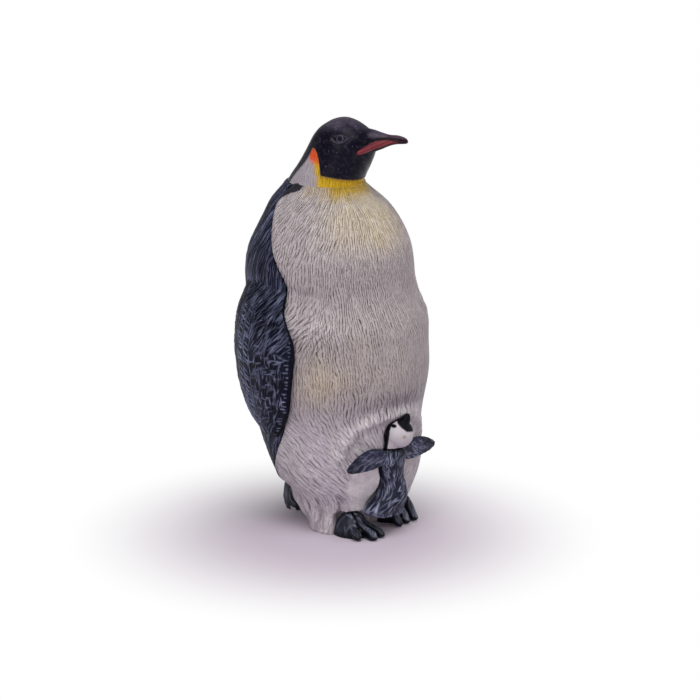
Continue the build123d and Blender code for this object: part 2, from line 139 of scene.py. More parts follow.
def carve(sheet, start, flow, length, radius, depth):  # tapered tool strokes that follow the flow
    grid, cell = sheet["grid"], sheet["cell"]
    reach = int(math.ceil(radius.max() / cell)) + 1
    span = np.arange(-reach, reach + 1)
    ox, oy = [o.ravel() for o in np.meshgrid(span, span, indexing="ij")]
    x, y = start[:, 0].copy(), start[:, 1].copy()
    for step in range(int(length.max() / cell)):
        along = step * cell / length
        live = along < 1
        lx, ly = x[live], y[live]
        press = depth[live] * np.sin(math.pi * (0.06 + 0.94 * along[live])) ** 0.6
        gx = (lx - sheet["low"][0]) / cell
        gy = (ly - sheet["low"][1]) / cell
        ix = np.round(gx).astype(int)[:, None] + ox
        iy = np.round(gy).astype(int)[:, None] + oy
        gap = np.hypot(ix - gx[:, None], iy - gy[:, None]) * cell / radius[live][:, None]
        cut = press[:, None] * np.clip(1 - gap * gap, 0, 1)
        ok = (cut > 0) & (ix >= 0) & (iy >= 0) & (ix < grid.shape[0]) & (iy < grid.shape[1])
        np.maximum.at(grid, (ix[ok], iy[ok]), cut[ok])
        lean = flow(x, y)
        x += np.sin(lean) * cell
        y -= np.cos(lean) * cell


def comb(sheet, rng, count, low, high, flow, length, radius, depth):  # many strokes at random places
    start = rng.uniform(low, high, (count, 2))
    turn = rng.normal(0, 1, count)
    carve(sheet, start, lambda x, y: flow(x, y, turn), rng.uniform(*length, count),
          rng.uniform(*radius, count), rng.uniform(*depth, count))


def carveRow(sheet, rng, start, flow, length, radius, depth):  # strokes of one radius at chosen places
    count = len(start)
    carve(sheet, start, flow, length + np.zeros(count), np.full(count, radius), rng.uniform(*depth, count))


# stroke starts in uneven rows, every second row shifted by half a pitch
def seedGrid(rng, low, high, pitch, scatter=0.45):
    columns, rows = np.arange(low[0], high[0], pitch[0]), np.arange(low[1], high[1], pitch[1])
    x, y = np.meshgrid(columns, rows, indexing="ij")
    x = x + np.where(np.arange(len(rows)) % 2, 0.5, 0.0)[None, :] * pitch[0]
    start = np.stack([x.ravel(), y.ravel()], axis=1)
    return start + rng.uniform(-scatter, scatter, start.shape) * pitch


def readSheet(sheet, x, y):
    grid = sheet["grid"]
    gx = np.clip((x - sheet["low"][0]) / sheet["cell"], 0, grid.shape[0] - 1.001)
    gy = np.clip((y - sheet["low"][1]) / sheet["cell"], 0, grid.shape[1] - 1.001)
    ix, iy = gx.astype(int), gy.astype(int)
    fx, fy = gx - ix, gy - iy
    low = grid[ix, iy] * (1 - fx) + grid[ix + 1, iy] * fx
    high = grid[ix, iy + 1] * (1 - fx) + grid[ix + 1, iy + 1] * fx
    return low * (1 - fy) + high * fy


# mesh helpers
def onlyActive(obj):
    bpy.ops.object.select_all(action="DESELECT")
    obj.select_set(True)
    bpy.context.view_layer.objects.active = obj


def applyModifier(obj, kind, **settings):
    mod = obj.modifiers.new(kind.lower(), kind)
    for key, value in settings.items():
        setattr(mod, key, value)
    onlyActive(obj)
    bpy.ops.object.modifier_apply(modifier=mod.name)


def clayFrom(node, name, look):  # an even skin of clay over a copy of the CAD piece, its points and normals
    obj = bpy.data.objects.new(name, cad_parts[node].data.copy())
    obj.data.materials.clear()
    scene.collection.objects.link(obj)
    onlyActive(obj)
    bpy.ops.object.mode_set(mode="EDIT")
    bpy.ops.mesh.select_all(action="SELECT")
    bpy.ops.mesh.remove_doubles(threshold=0.00001)
    bpy.ops.object.mode_set(mode="OBJECT")
    applyModifier(obj, "REMESH", mode="VOXEL", voxel_size=look["grain"] * mm, use_smooth_shade=True)
    applyModifier(obj, "SMOOTH", factor=0.5, iterations=look["relax"])
    if "most" in look:
        thinInside(obj, look["most"])
    return obj, *clayPoints(obj)


def clayPoints(obj):
    count = len(obj.data.vertices)
    flat = np.empty(count * 3, np.float32)
    obj.data.vertices.foreach_get("co", flat)
    points = flat.reshape(-1, 3).astype(float) / mm
    obj.data.vertex_normals.foreach_get("vector", flat)
    return points, flat.reshape(-1, 3).astype(float)


def setPoints(obj, points):
    obj.data.vertices.foreach_set("co", (points * mm).astype(np.float32).ravel())
    obj.data.update()


def pushOut(obj, amount):  # along the normals, in millimetres
    points, normals = clayPoints(obj)
    setPoints(obj, points + normals * amount[:, None])


def setLayer(obj, name, values):
    layer = obj.data.attributes.new(name, "FLOAT", "POINT")
    layer.data.foreach_set("value", values.astype(np.float32))


def setMasks(obj, **masks):  # paint masks, from 0 to 1
    for name, values in masks.items():
        setLayer(obj, name, np.clip(values, 0, 1))


def setSheet(obj, across, along):  # millimetres on the stroke sheet, for the fine strokes in the paint
    setLayer(obj, "sheetAcross", across)
    setLayer(obj, "sheetAlong", along)


def combMasks(obj, strokes, field, strength):  # shares directions out among strokes of a fixed lean
    step = abs(strokes[1][1] - strokes[0][1])
    for name, lean, _, _ in strokes:
        setMasks(obj, **{name: np.clip(1 - np.abs(field - lean) / step, 0, 1) * strength})


def relaxWhere(obj, weight, times):  # smooths only where the weight says
    group = obj.vertex_groups.new(name="relax")
    for k in np.nonzero(weight > 0.02)[0]:
        group.add([int(k)], float(weight[k]), "REPLACE")
    applyModifier(obj, "SMOOTH", factor=0.5, iterations=times, vertex_group="relax")
    obj.vertex_groups.remove(obj.vertex_groups["relax"])


def cadTree(node):
    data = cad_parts[node].data
    return BVHTree.FromPolygons([v.co for v in data.vertices], [p.vertices for p in data.polygons])


def gapTo(points, node, reach):  # millimetres from each point to a CAD piece, up to a reach
    tree = cadTree(node)
    gaps = np.full(len(points), float(reach))
    for k, p in enumerate(points * mm):
        place, _, _, gap = tree.find_nearest(Vector(p), reach * mm)
        if place is not None:
            gaps[k] = gap / mm
    return gaps


def unroll(points):  # angle from the belly's midline in degrees, and the sheet's two directions
    angle = np.degrees(np.arctan2(points[:, 0], -(points[:, 1] - figure["axisY"])))
    return angle, np.radians(angle) * figure["unrollRadius"], points[:, 2]


def onSheet(path):  # from degrees and heights to places on the stroke sheet
    arc = figure["unrollRadius"] * math.pi / 180
    return [(degrees * arc, height) for degrees, height in path]


def awayFrom(points, middle=(0.0, figure["axisY"])):  # level unit vectors away from an upright line
    out = points[:, :2] - np.array(middle)
    return out / np.linalg.norm(out, axis=1)[:, None]


def facing(points, normals):  # 1 on skin that looks outwards, -1 on inner walls
    return (normals[:, :2] * awayFrom(points)).sum(1)


def outerSkin(points, normals):  # 1 on a shell's outer side, 0 on its inner walls and underside
    outwards = facing(points, normals) + 0.4 * np.abs(normals[:, 2])
    return smooth(0.05, 0.35, outwards) * smooth(0.05, 0.6, points[:, 2])


def thinInside(obj, most, turned=-0.15):  # spends fewer triangles on the hidden inner wall
    points, normals = clayPoints(obj)
    group = obj.vertex_groups.new(name="inside")
    group.add([int(k) for k in np.nonzero(facing(points, normals) < turned)[0]], 1.0, "REPLACE")
    total = sum(len(face.vertices) - 2 for face in obj.data.polygons)
    applyModifier(obj, "DECIMATE", ratio=most / total, vertex_group="inside", vertex_group_factor=100.0)
    obj.vertex_groups.remove(obj.vertex_groups["inside"])


def tuckSides(obj, plain):  # draws a shell in above the hem, inner and outer wall alike
    angle, _, z = unroll(plain)
    drawn = figure["tuckDepth"] * bump(z, *figure["tuckHeight"]) * bump(np.abs(angle), *figure["tuckTurn"])
    points, _ = clayPoints(obj)
    points[:, :2] -= awayFrom(plain) * drawn[:, None]
    setPoints(obj, points)


def finishPiece(obj, material, node):
    points, _ = clayPoints(obj)
    low, high = [np.array(corner) / mm for corner in cadBox]
    setPoints(obj, np.clip(points, low, high))
    obj.data.materials.clear()
    obj.data.materials.append(material)
    onlyActive(obj)
    bpy.ops.object.shade_smooth()
    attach(obj, "root")
    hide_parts(node)
    triangles = sum(len(face.vertices) - 2 for face in obj.data.polygons)
    print("made", obj.name, triangles, "triangles, reach", points.min(0).round(2), points.max(0).round(2))


# material helpers
def linear(r, g, b):  # from the 0 to 255 values of a paint chart
    shares = [c / 255 for c in (r, g, b)]
    return tuple(((s + 0.055) / 1.055) ** 2.4 if s > 0.04 else s / 12.92 for s in shares) + (1.0,)


def socketValue(node, name, value):
    node.inputs[name].default_value = value


def feed(tree, socket, value):  # a link from another node, or a plain value
    if isinstance(value, bpy.types.NodeSocket):
        tree.links.new(value, socket)
    else:
        socket.default_value = value


def mixNode(tree, share, first, second):
    node = tree.nodes.new("ShaderNodeMix")
    node.data_type = "RGBA"
    for socket, value in ((node.inputs[0], share), (node.inputs[6], first), (node.inputs[7], second)):
        feed(tree, socket, value)
    return node.outputs[2]


def mathNode(tree, operation, first, second=0.0, third=0.0):
    node = tree.nodes.new("ShaderNodeMath")
    node.operation = operation
    for socket, value in zip(node.inputs, (first, second, third)):
        feed(tree, socket, value)
    return node.outputs[0]


def maskNode(tree, name):
    node = tree.nodes.new("ShaderNodeAttribute")
    node.attribute_name = name
    return node.outputs["Fac"]


# marks that all paints share: noise scales per metre, depths in metres
brushMarks = {
    "grainScale": 2600.0, "grainDetail": 3.0, "grainDepth": 0.00006,
    "patchScale": 420.0, "patchDetail": 4.0, "bristles": (2.0, -0.2), "roughSpread": 0.25,
}
# tool strokes: depth in metres, waver in millimetres, offsets in shares of a stroke's pitch or length
toolMarks = {
    "depth": 0.0005, "waver": 1.8, "waverScale": 0.4, "waverDetail": 1.5, "waverStretch": 0.6,
    "rowShift": 9.7, "press": (0.65, 0.35), "aside": (0.4, -0.7), "line": (0.04, 0.19), "taper": 0.6,
}


def addSockets(group, way, kind, *names):
    for name in names:
        group.interface.new_socket(name, in_out=way, socket_type="NodeSocket" + kind)


def noiseNode(tree, scale, detail, place):
    node = tree.nodes.new("ShaderNodeTexNoise")
    socketValue(node, "Scale", scale)
    socketValue(node, "Detail", detail)
    tree.links.new(place, node.inputs["Vector"])
    return node.outputs["Fac"]


def buildBrushwork():  # wash in the cuts, dry-brushed lights on the ridges, speckle over all
    group = bpy.data.node_groups.new("brushwork", "ShaderNodeTree")
    addSockets(group, "INPUT", "Color", "Paint", "Wash", "Light")
    addSockets(group, "INPUT", "Float", "Cut", "Brush", "Speckle", "Rough")
    addSockets(group, "OUTPUT", "Color", "Color")
    addSockets(group, "OUTPUT", "Float", "Roughness", "Height")
    enter = group.nodes.new("NodeGroupInput").outputs
    leave = group.nodes.new("NodeGroupOutput").inputs
    place = group.nodes.new("ShaderNodeTexCoord").outputs["Object"]
    grain = noiseNode(group, brushMarks["grainScale"], brushMarks["grainDetail"], place)
    patch = noiseNode(group, brushMarks["patchScale"], brushMarks["patchDetail"], place)
    # brushed lights on the ridges, broken up by the bristles
    broken = mathNode(group, "MULTIPLY_ADD", patch, *brushMarks["bristles"])
    lit = mathNode(group, "MULTIPLY", enter["Brush"], broken)
    lit.node.use_clamp = True
    color = mixNode(group, lit, enter["Paint"], enter["Light"])
    color = mixNode(group, enter["Cut"], color, enter["Wash"])
    # fine speckle, lighter and darker
    swing = mathNode(group, "SUBTRACT", grain, 0.5)
    gain = mathNode(group, "MULTIPLY_ADD", swing, enter["Speckle"], 1.0)
    tone = group.nodes.new("ShaderNodeVectorMath")
    tone.operation = "SCALE"
    group.links.new(color, tone.inputs[0])
    group.links.new(gain, tone.inputs["Scale"])
    rough = mathNode(group, "MULTIPLY_ADD", patch, brushMarks["roughSpread"], enter["Rough"])
    for name, source in (("Color", tone.outputs[0]), ("Roughness", rough), ("Height", grain)):
        group.links.new(source, leave[name])
    return group


def buildToolStrokes():  # rows of short tapered strokes at one lean, placed by the stroke sheet
    group = bpy.data.node_groups.new("toolStrokes", "ShaderNodeTree")
    addSockets(group, "INPUT", "Float", "Across", "Along", "Lean", "Pitch", "Length")
    addSockets(group, "OUTPUT", "Float", "Stroke")
    enter = group.nodes.new("NodeGroupInput").outputs
    leave = group.nodes.new("NodeGroupOutput").inputs

    def work(operation, first, second=0.0, third=0.0):
        return mathNode(group, operation, first, second, third)

    def pair(first, second):
        node = group.nodes.new("ShaderNodeCombineXYZ")
        feed(group, node.inputs[0], first)
        feed(group, node.inputs[1], second)
        return node.outputs[0]

    def fade(value, full, none):
        node = group.nodes.new("ShaderNodeMapRange")
        node.interpolation_type = "SMOOTHSTEP"
        feed(group, node.inputs["Value"], value)
        for name, setting in (("From Min", full), ("From Max", none), ("To Min", 1.0), ("To Max", 0.0)):
            socketValue(node, name, setting)
        return node.outputs["Result"]

    def chance(dimensions, socket, source):
        node = group.nodes.new("ShaderNodeTexWhiteNoise")
        node.noise_dimensions = dimensions
        feed(group, node.inputs[socket], source)
        return node.outputs["Value"]

    sine, cosine = work("SINE", enter["Lean"]), work("COSINE", enter["Lean"])
    over = work("ADD", work("MULTIPLY", enter["Across"], cosine), work("MULTIPLY", enter["Along"], sine))
    down = work("SUBTRACT", work("MULTIPLY", enter["Along"], cosine), work("MULTIPLY", enter["Across"], sine))
    # the hand wavers, so no row is quite straight
    place = pair(over, work("MULTIPLY", down, toolMarks["waverStretch"]))
    waver = noiseNode(group, toolMarks["waverScale"], toolMarks["waverDetail"], place)
    row = work("DIVIDE", work("MULTIPLY_ADD", waver, toolMarks["waver"], over), enter["Pitch"])
    rowNumber = work("FLOOR", row)
    rowChance = chance("1D", "W", rowNumber)
    step = work("MULTIPLY_ADD", rowChance, toolMarks["rowShift"], work("DIVIDE", down, enter["Length"]))
    strokeChance = chance("2D", "Vector", pair(rowNumber, work("FLOOR", step)))
    press = work("MULTIPLY_ADD", strokeChance, *toolMarks["press"])
    # how far a point is from its stroke's line, then from the stroke's two ends
    aside = work("ADD", work("FRACT", row), work("MULTIPLY_ADD", strokeChance, *toolMarks["aside"]))
    line = fade(work("ABSOLUTE", aside), *toolMarks["line"])
    ends = work("POWER", work("SINE", work("MULTIPLY", work("FRACT", step), math.pi)), toolMarks["taper"])
    feed(group, leave["Stroke"], work("MULTIPLY", work("MULTIPLY", line, ends), press))
    return group


brushwork = buildBrushwork()
toolStrokes = buildToolStrokes()


def strokeNodes(tree, strokes):  # the fine strokes of all leans, each where its mask lets it
    total = 0.0
    for mask, lean, pitch, length in strokes:
        tool = tree.nodes.new("ShaderNodeGroup")
        tool.node_tree = toolStrokes
        for socket, value in (
            ("Across", maskNode(tree, "sheetAcross")), ("Along", maskNode(tree, "sheetAlong")),
            ("Lean", lean), ("Pitch", pitch), ("Length", length),
        ):
            feed(tree, tool.inputs[socket], value)
        total = mathNode(tree, "MULTIPLY_ADD", tool.outputs["Stroke"], maskNode(tree, mask), total)
    return total


def bumpNode(tree, height, strength, depth, inwards, under=None):
    node = tree.nodes.new("ShaderNodeBump")
    node.invert = inwards
    socketValue(node, "Strength", strength)
    socketValue(node, "Distance", depth)
    tree.links.new(height, node.inputs["Height"])
    if under:
        tree.links.new(under, node.inputs["Normal"])
    return node.outputs["Normal"]


def paintMaterial(name, finish):  # layers of masked paint, fine strokes, then the shared brushwork
    mat = bpy.data.materials.new(name)
    mat.use_nodes = True
    tree = mat.node_tree
    shader = tree.nodes["Principled BSDF"]
    color = finish["paint"]
    wash = finish["wash"]
    for mask, paint, dark in finish.get("layers", ()):
        layer = maskNode(tree, mask)
        color = mixNode(tree, layer, color, paint)
        wash = mixNode(tree, layer, wash, dark)
    cut, brushed = maskNode(tree, "cut"), maskNode(tree, "brush")
    strokes = strokeNodes(tree, finish["strokes"]) if "strokes" in finish else None
    if strokes:
        cut = mathNode(tree, "MULTIPLY_ADD", strokes, finish["strokeCut"], cut)
        brushed = mathNode(tree, "MULTIPLY_ADD", strokes, finish["strokeBrush"], brushed)
        for total in (cut, brushed):
            total.node.use_clamp = True
    brush = tree.nodes.new("ShaderNodeGroup")
    brush.node_tree = brushwork
    for socket, value in (
        ("Paint", color), ("Wash", wash), ("Light", finish["light"]), ("Speckle", finish["speckle"]),
        ("Cut", cut), ("Brush", brushed), ("Rough", finish["rough"]),
    ):
        feed(tree, brush.inputs[socket], value)
    normal = bumpNode(tree, brush.outputs["Height"], finish["relief"], brushMarks["grainDepth"], False)
    if strokes:
        inwards = finish["strokeCut"] > 0
        normal = bumpNode(tree, strokes, finish["strokeRelief"], toolMarks["depth"], inwards, normal)
    tree.links.new(brush.outputs["Color"], shader.inputs["Base Color"])
    tree.links.new(brush.outputs["Roughness"], shader.inputs["Roughness"])
    tree.links.new(normal, shader.inputs["Normal"])
    socketValue(shader, "Specular IOR Level", finish["gloss"])
    return mat


# white breast and belly
breastLook = {
    "grain": 0.285, "relax": 4, "most": 195000, "seed": 11,
    "pitch": (1.05, 2.3), "length": (1.8, 4.2), "radius": (0.16, 0.24), "depth": (0.4, 1.0), "cutDepth": 0.2,
    # the fold of skin over the chick and the crease at the waist: degrees from the midline, height
    "fold": [(-44, 15.0), (-42, 19.5), (-36, 23.5), (-25, 25.8), (-11, 27.0), (6, 27.2), (22, 25.2),
             (31, 21.5), (33, 17.5)],
    "crease": [(-80, 54.6), (-62, 53.6), (-40, 54.0)],
    "foldWidth": 1.7, "armpit": 46.5, "pocket": (-1.0, 12.0), "pullFrom": 36.0,
    "pocketRelax": 25, "foldRelax": 40,
    # the calm skin beside the chick: its middle on the stroke sheet, half its size
    "calm": ((-6.0, 10.5), (6.5, 7.5)),
    # how far the fold's crest, the crease and the tufts stand out or in
    "crestLift": 0.35, "creaseDepth": 0.2, "armpitLift": 0.35, "hemLift": 0.7, "hemTufts": 170,
    # the lip along the seam, and the rim at the neck: its middle, rise and lean inwards
    "lip": 0.25, "collar": (0.0, 4.3), "rimRise": 0.14, "rimLean": 0.6,
    "finish": {
        "paint": linear(170, 159, 161), "wash": linear(58, 50, 54), "light": linear(222, 215, 217),
        "layers": [
            ("cream", linear(202, 185, 152), linear(92, 76, 52)),
            ("yellow", linear(198, 162, 30), linear(120, 90, 16)),
            ("lilac", linear(178, 169, 182), linear(66, 60, 70)),
            ("shade", linear(104, 97, 104), linear(46, 41, 48)),
            ("slate", linear(24, 22, 36), linear(7, 6, 12)),
        ],
        # mask, lean in radians from straight down, pitch and length in millimetres
        "strokes": [
            ("combFarRight", -0.9, 0.95, 3.2), ("combRight", -0.45, 0.82, 2.6), ("combDown", 0.0, 0.7, 2.4),
            ("combLeft", 0.45, 0.82, 2.6), ("combFarLeft", 0.9, 0.95, 3.2), ("combFine", 0.12, 0.56, 1.5),
        ],
        "strokeCut": 0.85, "strokeBrush": 0.0, "strokeRelief": 1.0,
        "speckle": 0.7, "relief": 0.9, "gloss": 0.2, "rough": 0.35,
    },
}


def breastLean(x, z):
    lean = 0.007 * x * smooth(50, 62, z)
    # tufts sweep outwards under the armpits
    lean = lean + np.sign(x) * 0.95 * smooth(10, 18, np.abs(x)) * bump(z, breastLook["armpit"], 4.0)
    # strokes on the lower belly are drawn in towards the chick's pocket
    px, pz = breastLook["pocket"]
    towards = np.clip(np.arctan2(px - x, np.maximum(z - pz, 3.0)), -1.0, 1.0)
    pull = smooth(breastLook["pullFrom"], 20.0, z) * smooth(4.0, 11.0, z)
    return lean * (1 - pull) + 0.85 * towards * pull + ripple(x, z, 4.0, 3) * 0.5


def breastFlow(x, z, turn):
    return breastLean(x, z) + 0.1 * turn + ripple(x, z, 1.6, 4) * 0.25


def makeBreast():
    look = breastLook
    obj, points, normals = clayFrom("breast_shell", "breastPlumage", look)
    angle, x, z = unroll(points)
    skin = outerSkin(points, normals)
    side = np.abs(x)
    # soft edge of the pocket
    px, pz = look["pocket"]
    pocketEdge = bump(np.hypot(x - px, (z - pz) * 0.62), 9.0, 2.5) * smooth(6.0, 8.0, z)
    pocketEdge *= smooth(23.0, 21.0, z)
    relaxWhere(obj, pocketEdge * skin, look["pocketRelax"])
    # the fold runs softly into the belly, with a fluffy crest
    fold, along = pathGap(x, z, onSheet(look["fold"]))
    ridge = bump(fold, 0, look["foldWidth"]) * smooth(0, 0.12, along) * smooth(1.0, 0.9, along)
    foot = bump(fold, 1.7, 1.2) * smooth(0, 0.1, along) * smooth(1.0, 0.9, along)
    relaxWhere(obj, foot * skin, look["foldRelax"])
    lift = look["crestLift"] * ridge * ripple(x, z, 1.2, 21)
    # crease at the waist, from the armpit forwards
    crease, run = pathGap(-side, z, onSheet(look["crease"]))
    lift -= look["creaseDepth"] * bump(crease, 0, 0.8) * smooth(0.8, 0.2, run)
    # tufts under the armpits and along the hem
    hem = smooth(9.0, 2.0, z)
    armpit = bump(z, look["armpit"], 4) * smooth(11, 18, side)
    tufts = look["armpitLift"] * armpit * (cloud(x, z, 1.8, 7) - 0.55)
    lift += tufts + look["hemLift"] * hem * (cloud(x, z * 0.35, 1.3, 8) - 0.6)
    pushOut(obj, lift * skin)
    # deeper strokes under the armpits, above the fold, on the lower side and at the hem
    rng = np.random.default_rng(look["seed"])
    sheet = blankSheet(*figure["sheet"])
    start = seedGrid(rng, (-60, 0), (60, 78), look["pitch"])
    count = len(start)
    turn = rng.normal(0, 1, count)
    sx, sz = np.abs(start[:, 0]), start[:, 1]
    press = 0.08 + 0.75 * bump(sz, look["armpit"], 3.5) * smooth(12, 18, sx)
    press = press + 0.45 * bump(sz, 15, 9) * smooth(5, 13, sx)
    press += 0.3 * bump(sz, 67, 6) + 0.7 * bump(sz, 30.5, 2.8) * smooth(16, 6, sx) + 0.5 * smooth(8, 3, sz)
    carve(sheet, start, lambda a, b: breastFlow(a, b, turn), rng.uniform(*look["length"], count),
          rng.uniform(*look["radius"], count), np.clip(press, 0, 1.1) * rng.uniform(*look["depth"], count))
    # coarse tufts at the hem
    comb(sheet, rng, look["hemTufts"], (-60, 1.5), (60, 10), lambda a, b, t: breastFlow(a, b, 2.5 * t),
         (2.0, 4.0), (0.28, 0.45), (0.5, 1.1))
    (calmX, calmZ), (calmWide, calmHigh) = look["calm"]
    calm = smooth(1.0, 0.75, np.hypot((x - calmX) / calmWide, (z - calmZ) / calmHigh))
    cut = np.clip(readSheet(sheet, x, z), 0, 1.2) * (1 - 0.85 * calm)
    pushOut(obj, -look["cutDepth"] * cut * skin)
    # the seam stands up a little, and the rim leans in to meet the head without a gap
    seam = gapTo(points, "back_shell", 4.5)
    flipper = np.minimum(gapTo(points, "right_flipper", 2.0), gapTo(points, "left_flipper", 2.0))
    pushOut(obj, look["lip"] * bump(seam, 0.9, 0.8) * skin * (flipper > 1.9))
    risen, _ = clayPoints(obj)
    risen[:, 2] += look["rimRise"] * smooth(73.4, 74.1, z)
    leaning = look["rimLean"] * smooth(72.6, 74.4, z) * skin
    risen[:, :2] -= awayFrom(points, look["collar"]) * leaning[:, None]
    setPoints(obj, risen)
    tuckSides(obj, points)
    # fine strokes, quieter over the plain middle of the belly
    setSheet(obj, x, z)
    plain = smooth(64, 54, z) * smooth(30, 36, z) * smooth(78, 50, np.abs(angle))
    combed = 0.95 - 0.72 * plain + 0.2 * armpit - 0.8 * calm - 0.45 * hem - 0.3 * smooth(30, 22, z)
    combMasks(obj, look["finish"]["strokes"][:-1], breastLean(x, z), combed * skin)
    # cream upper breast and flank, yellow under the collar
    front = smooth(75, 30, np.abs(angle + 8))
    cream = 0.9 * smooth(59, 70, z) * front + 0.6 * bump(z, 65, 4) * bump(angle, -8, 28)
    cream += 0.5 * bump(z, 34, 7) * bump(angle, -54, 18) + 0.2 * bump(z, 40, 8) * bump(angle, -20, 30)
    cream *= 0.55 + 0.7 * cloud(x, z, 4.5, 33)
    streak = ripple(x, z * 0.3, 0.9, 31)
    yellow = smooth(71.2, 73.8, z + 1.2 * streak) * (0.35 + 0.65 * smooth(78, 48, np.abs(angle)))
    yellow *= smooth(108, 92, np.abs(angle))
    # lilac belly, shade in the hollows
    lilac = 0.8 * smooth(34, 22, z) * (0.5 + 0.6 * cloud(x, z, 6.0, 34))
    shade = 0.6 * bump(z, 29.3, 2.6) * bump(angle, -2, 24) + 0.7 * bump(flipper, 0, 0.7)
    hollow = 0.5 * smooth(7.5, 5.0, z) * bump(angle, -28, 16)
    shade += hollow + 0.3 * bump(crease, 0, 1.0) * smooth(1.0, 0.3, run)
    # the back's slate laps over the seam near the hem, and in a wedge under the ear patch
    slate = smooth(1.7, 1.2, seam) * smooth(17, 12, z) * smooth(3, 6, z)
    wedge = 3.9 * smooth(70.0, 75.5, z) + 0.5 * ripple(x, z, 0.9, 37)
    slate = np.maximum(slate, smooth(0.25, -0.25, seam - wedge) * smooth(68.5, 70.0, z) * skin)
    # brushed light on the crests between the cuts
    crest = 0.2 + 0.6 * ridge + 0.5 * hem + 0.5 * calm + 0.4 * armpit
    crest += 0.35 * smooth(30, 20, z) + 0.15 * smooth(56, 64, z)
    uncut = 0.25 + 0.75 * smooth(0.3, 0.0, cut)
    setMasks(
        obj, cream=cream, yellow=yellow, lilac=lilac, shade=shade, slate=slate,
        combFine=0.8 * plain * (0.4 + 0.9 * cloud(x, z, 3.0, 36)),
        cut=((0.8 - 0.3 * smooth(32, 24, z)) * cut ** 1.3) * skin + (1 - skin) * 0.3,
        brush=uncut * crest * (1 - 0.75 * yellow) * (1 - 0.93 * slate),
    )
    finishPiece(obj, paintMaterial("breastPaint", look["finish"]), "breast_shell")


# blue-black back
backLook = {
    "grain": 0.275, "relax": 4, "most": 195000, "seed": 12,
    "cuts": 1800, "ridges": 2400, "cutDepth": 0.15, "raise": 0.14, "seamDepth": 0.2,
    "finish": {
        "paint": linear(13, 15, 35), "wash": linear(4, 4, 12), "light": linear(158, 165, 202),
        "strokes": [
            ("combRight", -0.35, 0.7, 4.0), ("combDown", 0.0, 0.65, 4.2), ("combLeft", 0.35, 0.7, 4.0),
        ],
        "strokeCut": 0.0, "strokeBrush": 1.0, "strokeRelief": 1.0,
        "speckle": 0.35, "relief": 0.35, "gloss": 0.06, "rough": 0.3,
    },
}


def backFlow(x, z, turn):
    lean = np.sign(x) * -0.25 * smooth(60, 20, z)
    return lean + 0.15 * turn + ripple(x, z, 5.0, 41) * 0.6


def makeBack():
    look = backLook
    obj, points, normals = clayFrom("back_shell", "backPlumage", look)
    angle, _, z = unroll(points)
    # the sheet opens at the belly, so that it is whole over the back
    behind = np.radians(np.where(angle > 0, angle - 180, angle + 180)) * figure["unrollRadius"]
    skin = outerSkin(points, normals)
    rng = np.random.default_rng(look["seed"])
    ridges, cuts = blankSheet(*figure["sheet"]), blankSheet(*figure["sheet"])
    comb(cuts, rng, look["cuts"], (-61, 0), (61, 78), backFlow, (2.0, 6.0), (0.2, 0.3), (0.3, 1.0))
    comb(ridges, rng, look["ridges"], (-61, 0), (61, 78), backFlow, (2.5, 8.0), (0.16, 0.24), (0.3, 1.0))
    ridge, cut = readSheet(ridges, behind, z), readSheet(cuts, behind, z)
    seam = gapTo(points, "breast_shell", 2.0)
    lift = -look["cutDepth"] * cut + look["raise"] * (ridge - 0.8)
    lift -= look["seamDepth"] * smooth(1.2, 0.0, seam)
    pushOut(obj, lift * skin)
    tuckSides(obj, points)
    setSheet(obj, behind, z)
    combed = skin * (0.25 + 0.8 * cloud(behind, z, 3.0, 45))
    combMasks(obj, look["finish"]["strokes"], backFlow(behind, z, 0.0), combed)
    setMasks(
        obj, cut=(0.8 * cut * (1 - ridge) + 0.5 * smooth(0.8, 0.0, seam)) * skin,
        brush=ridge * (0.3 + 0.6 * cloud(behind, z, 2.0, 44)) * skin,
    )
    finishPiece(obj, paintMaterial("backPaint", look["finish"]), "back_shell")


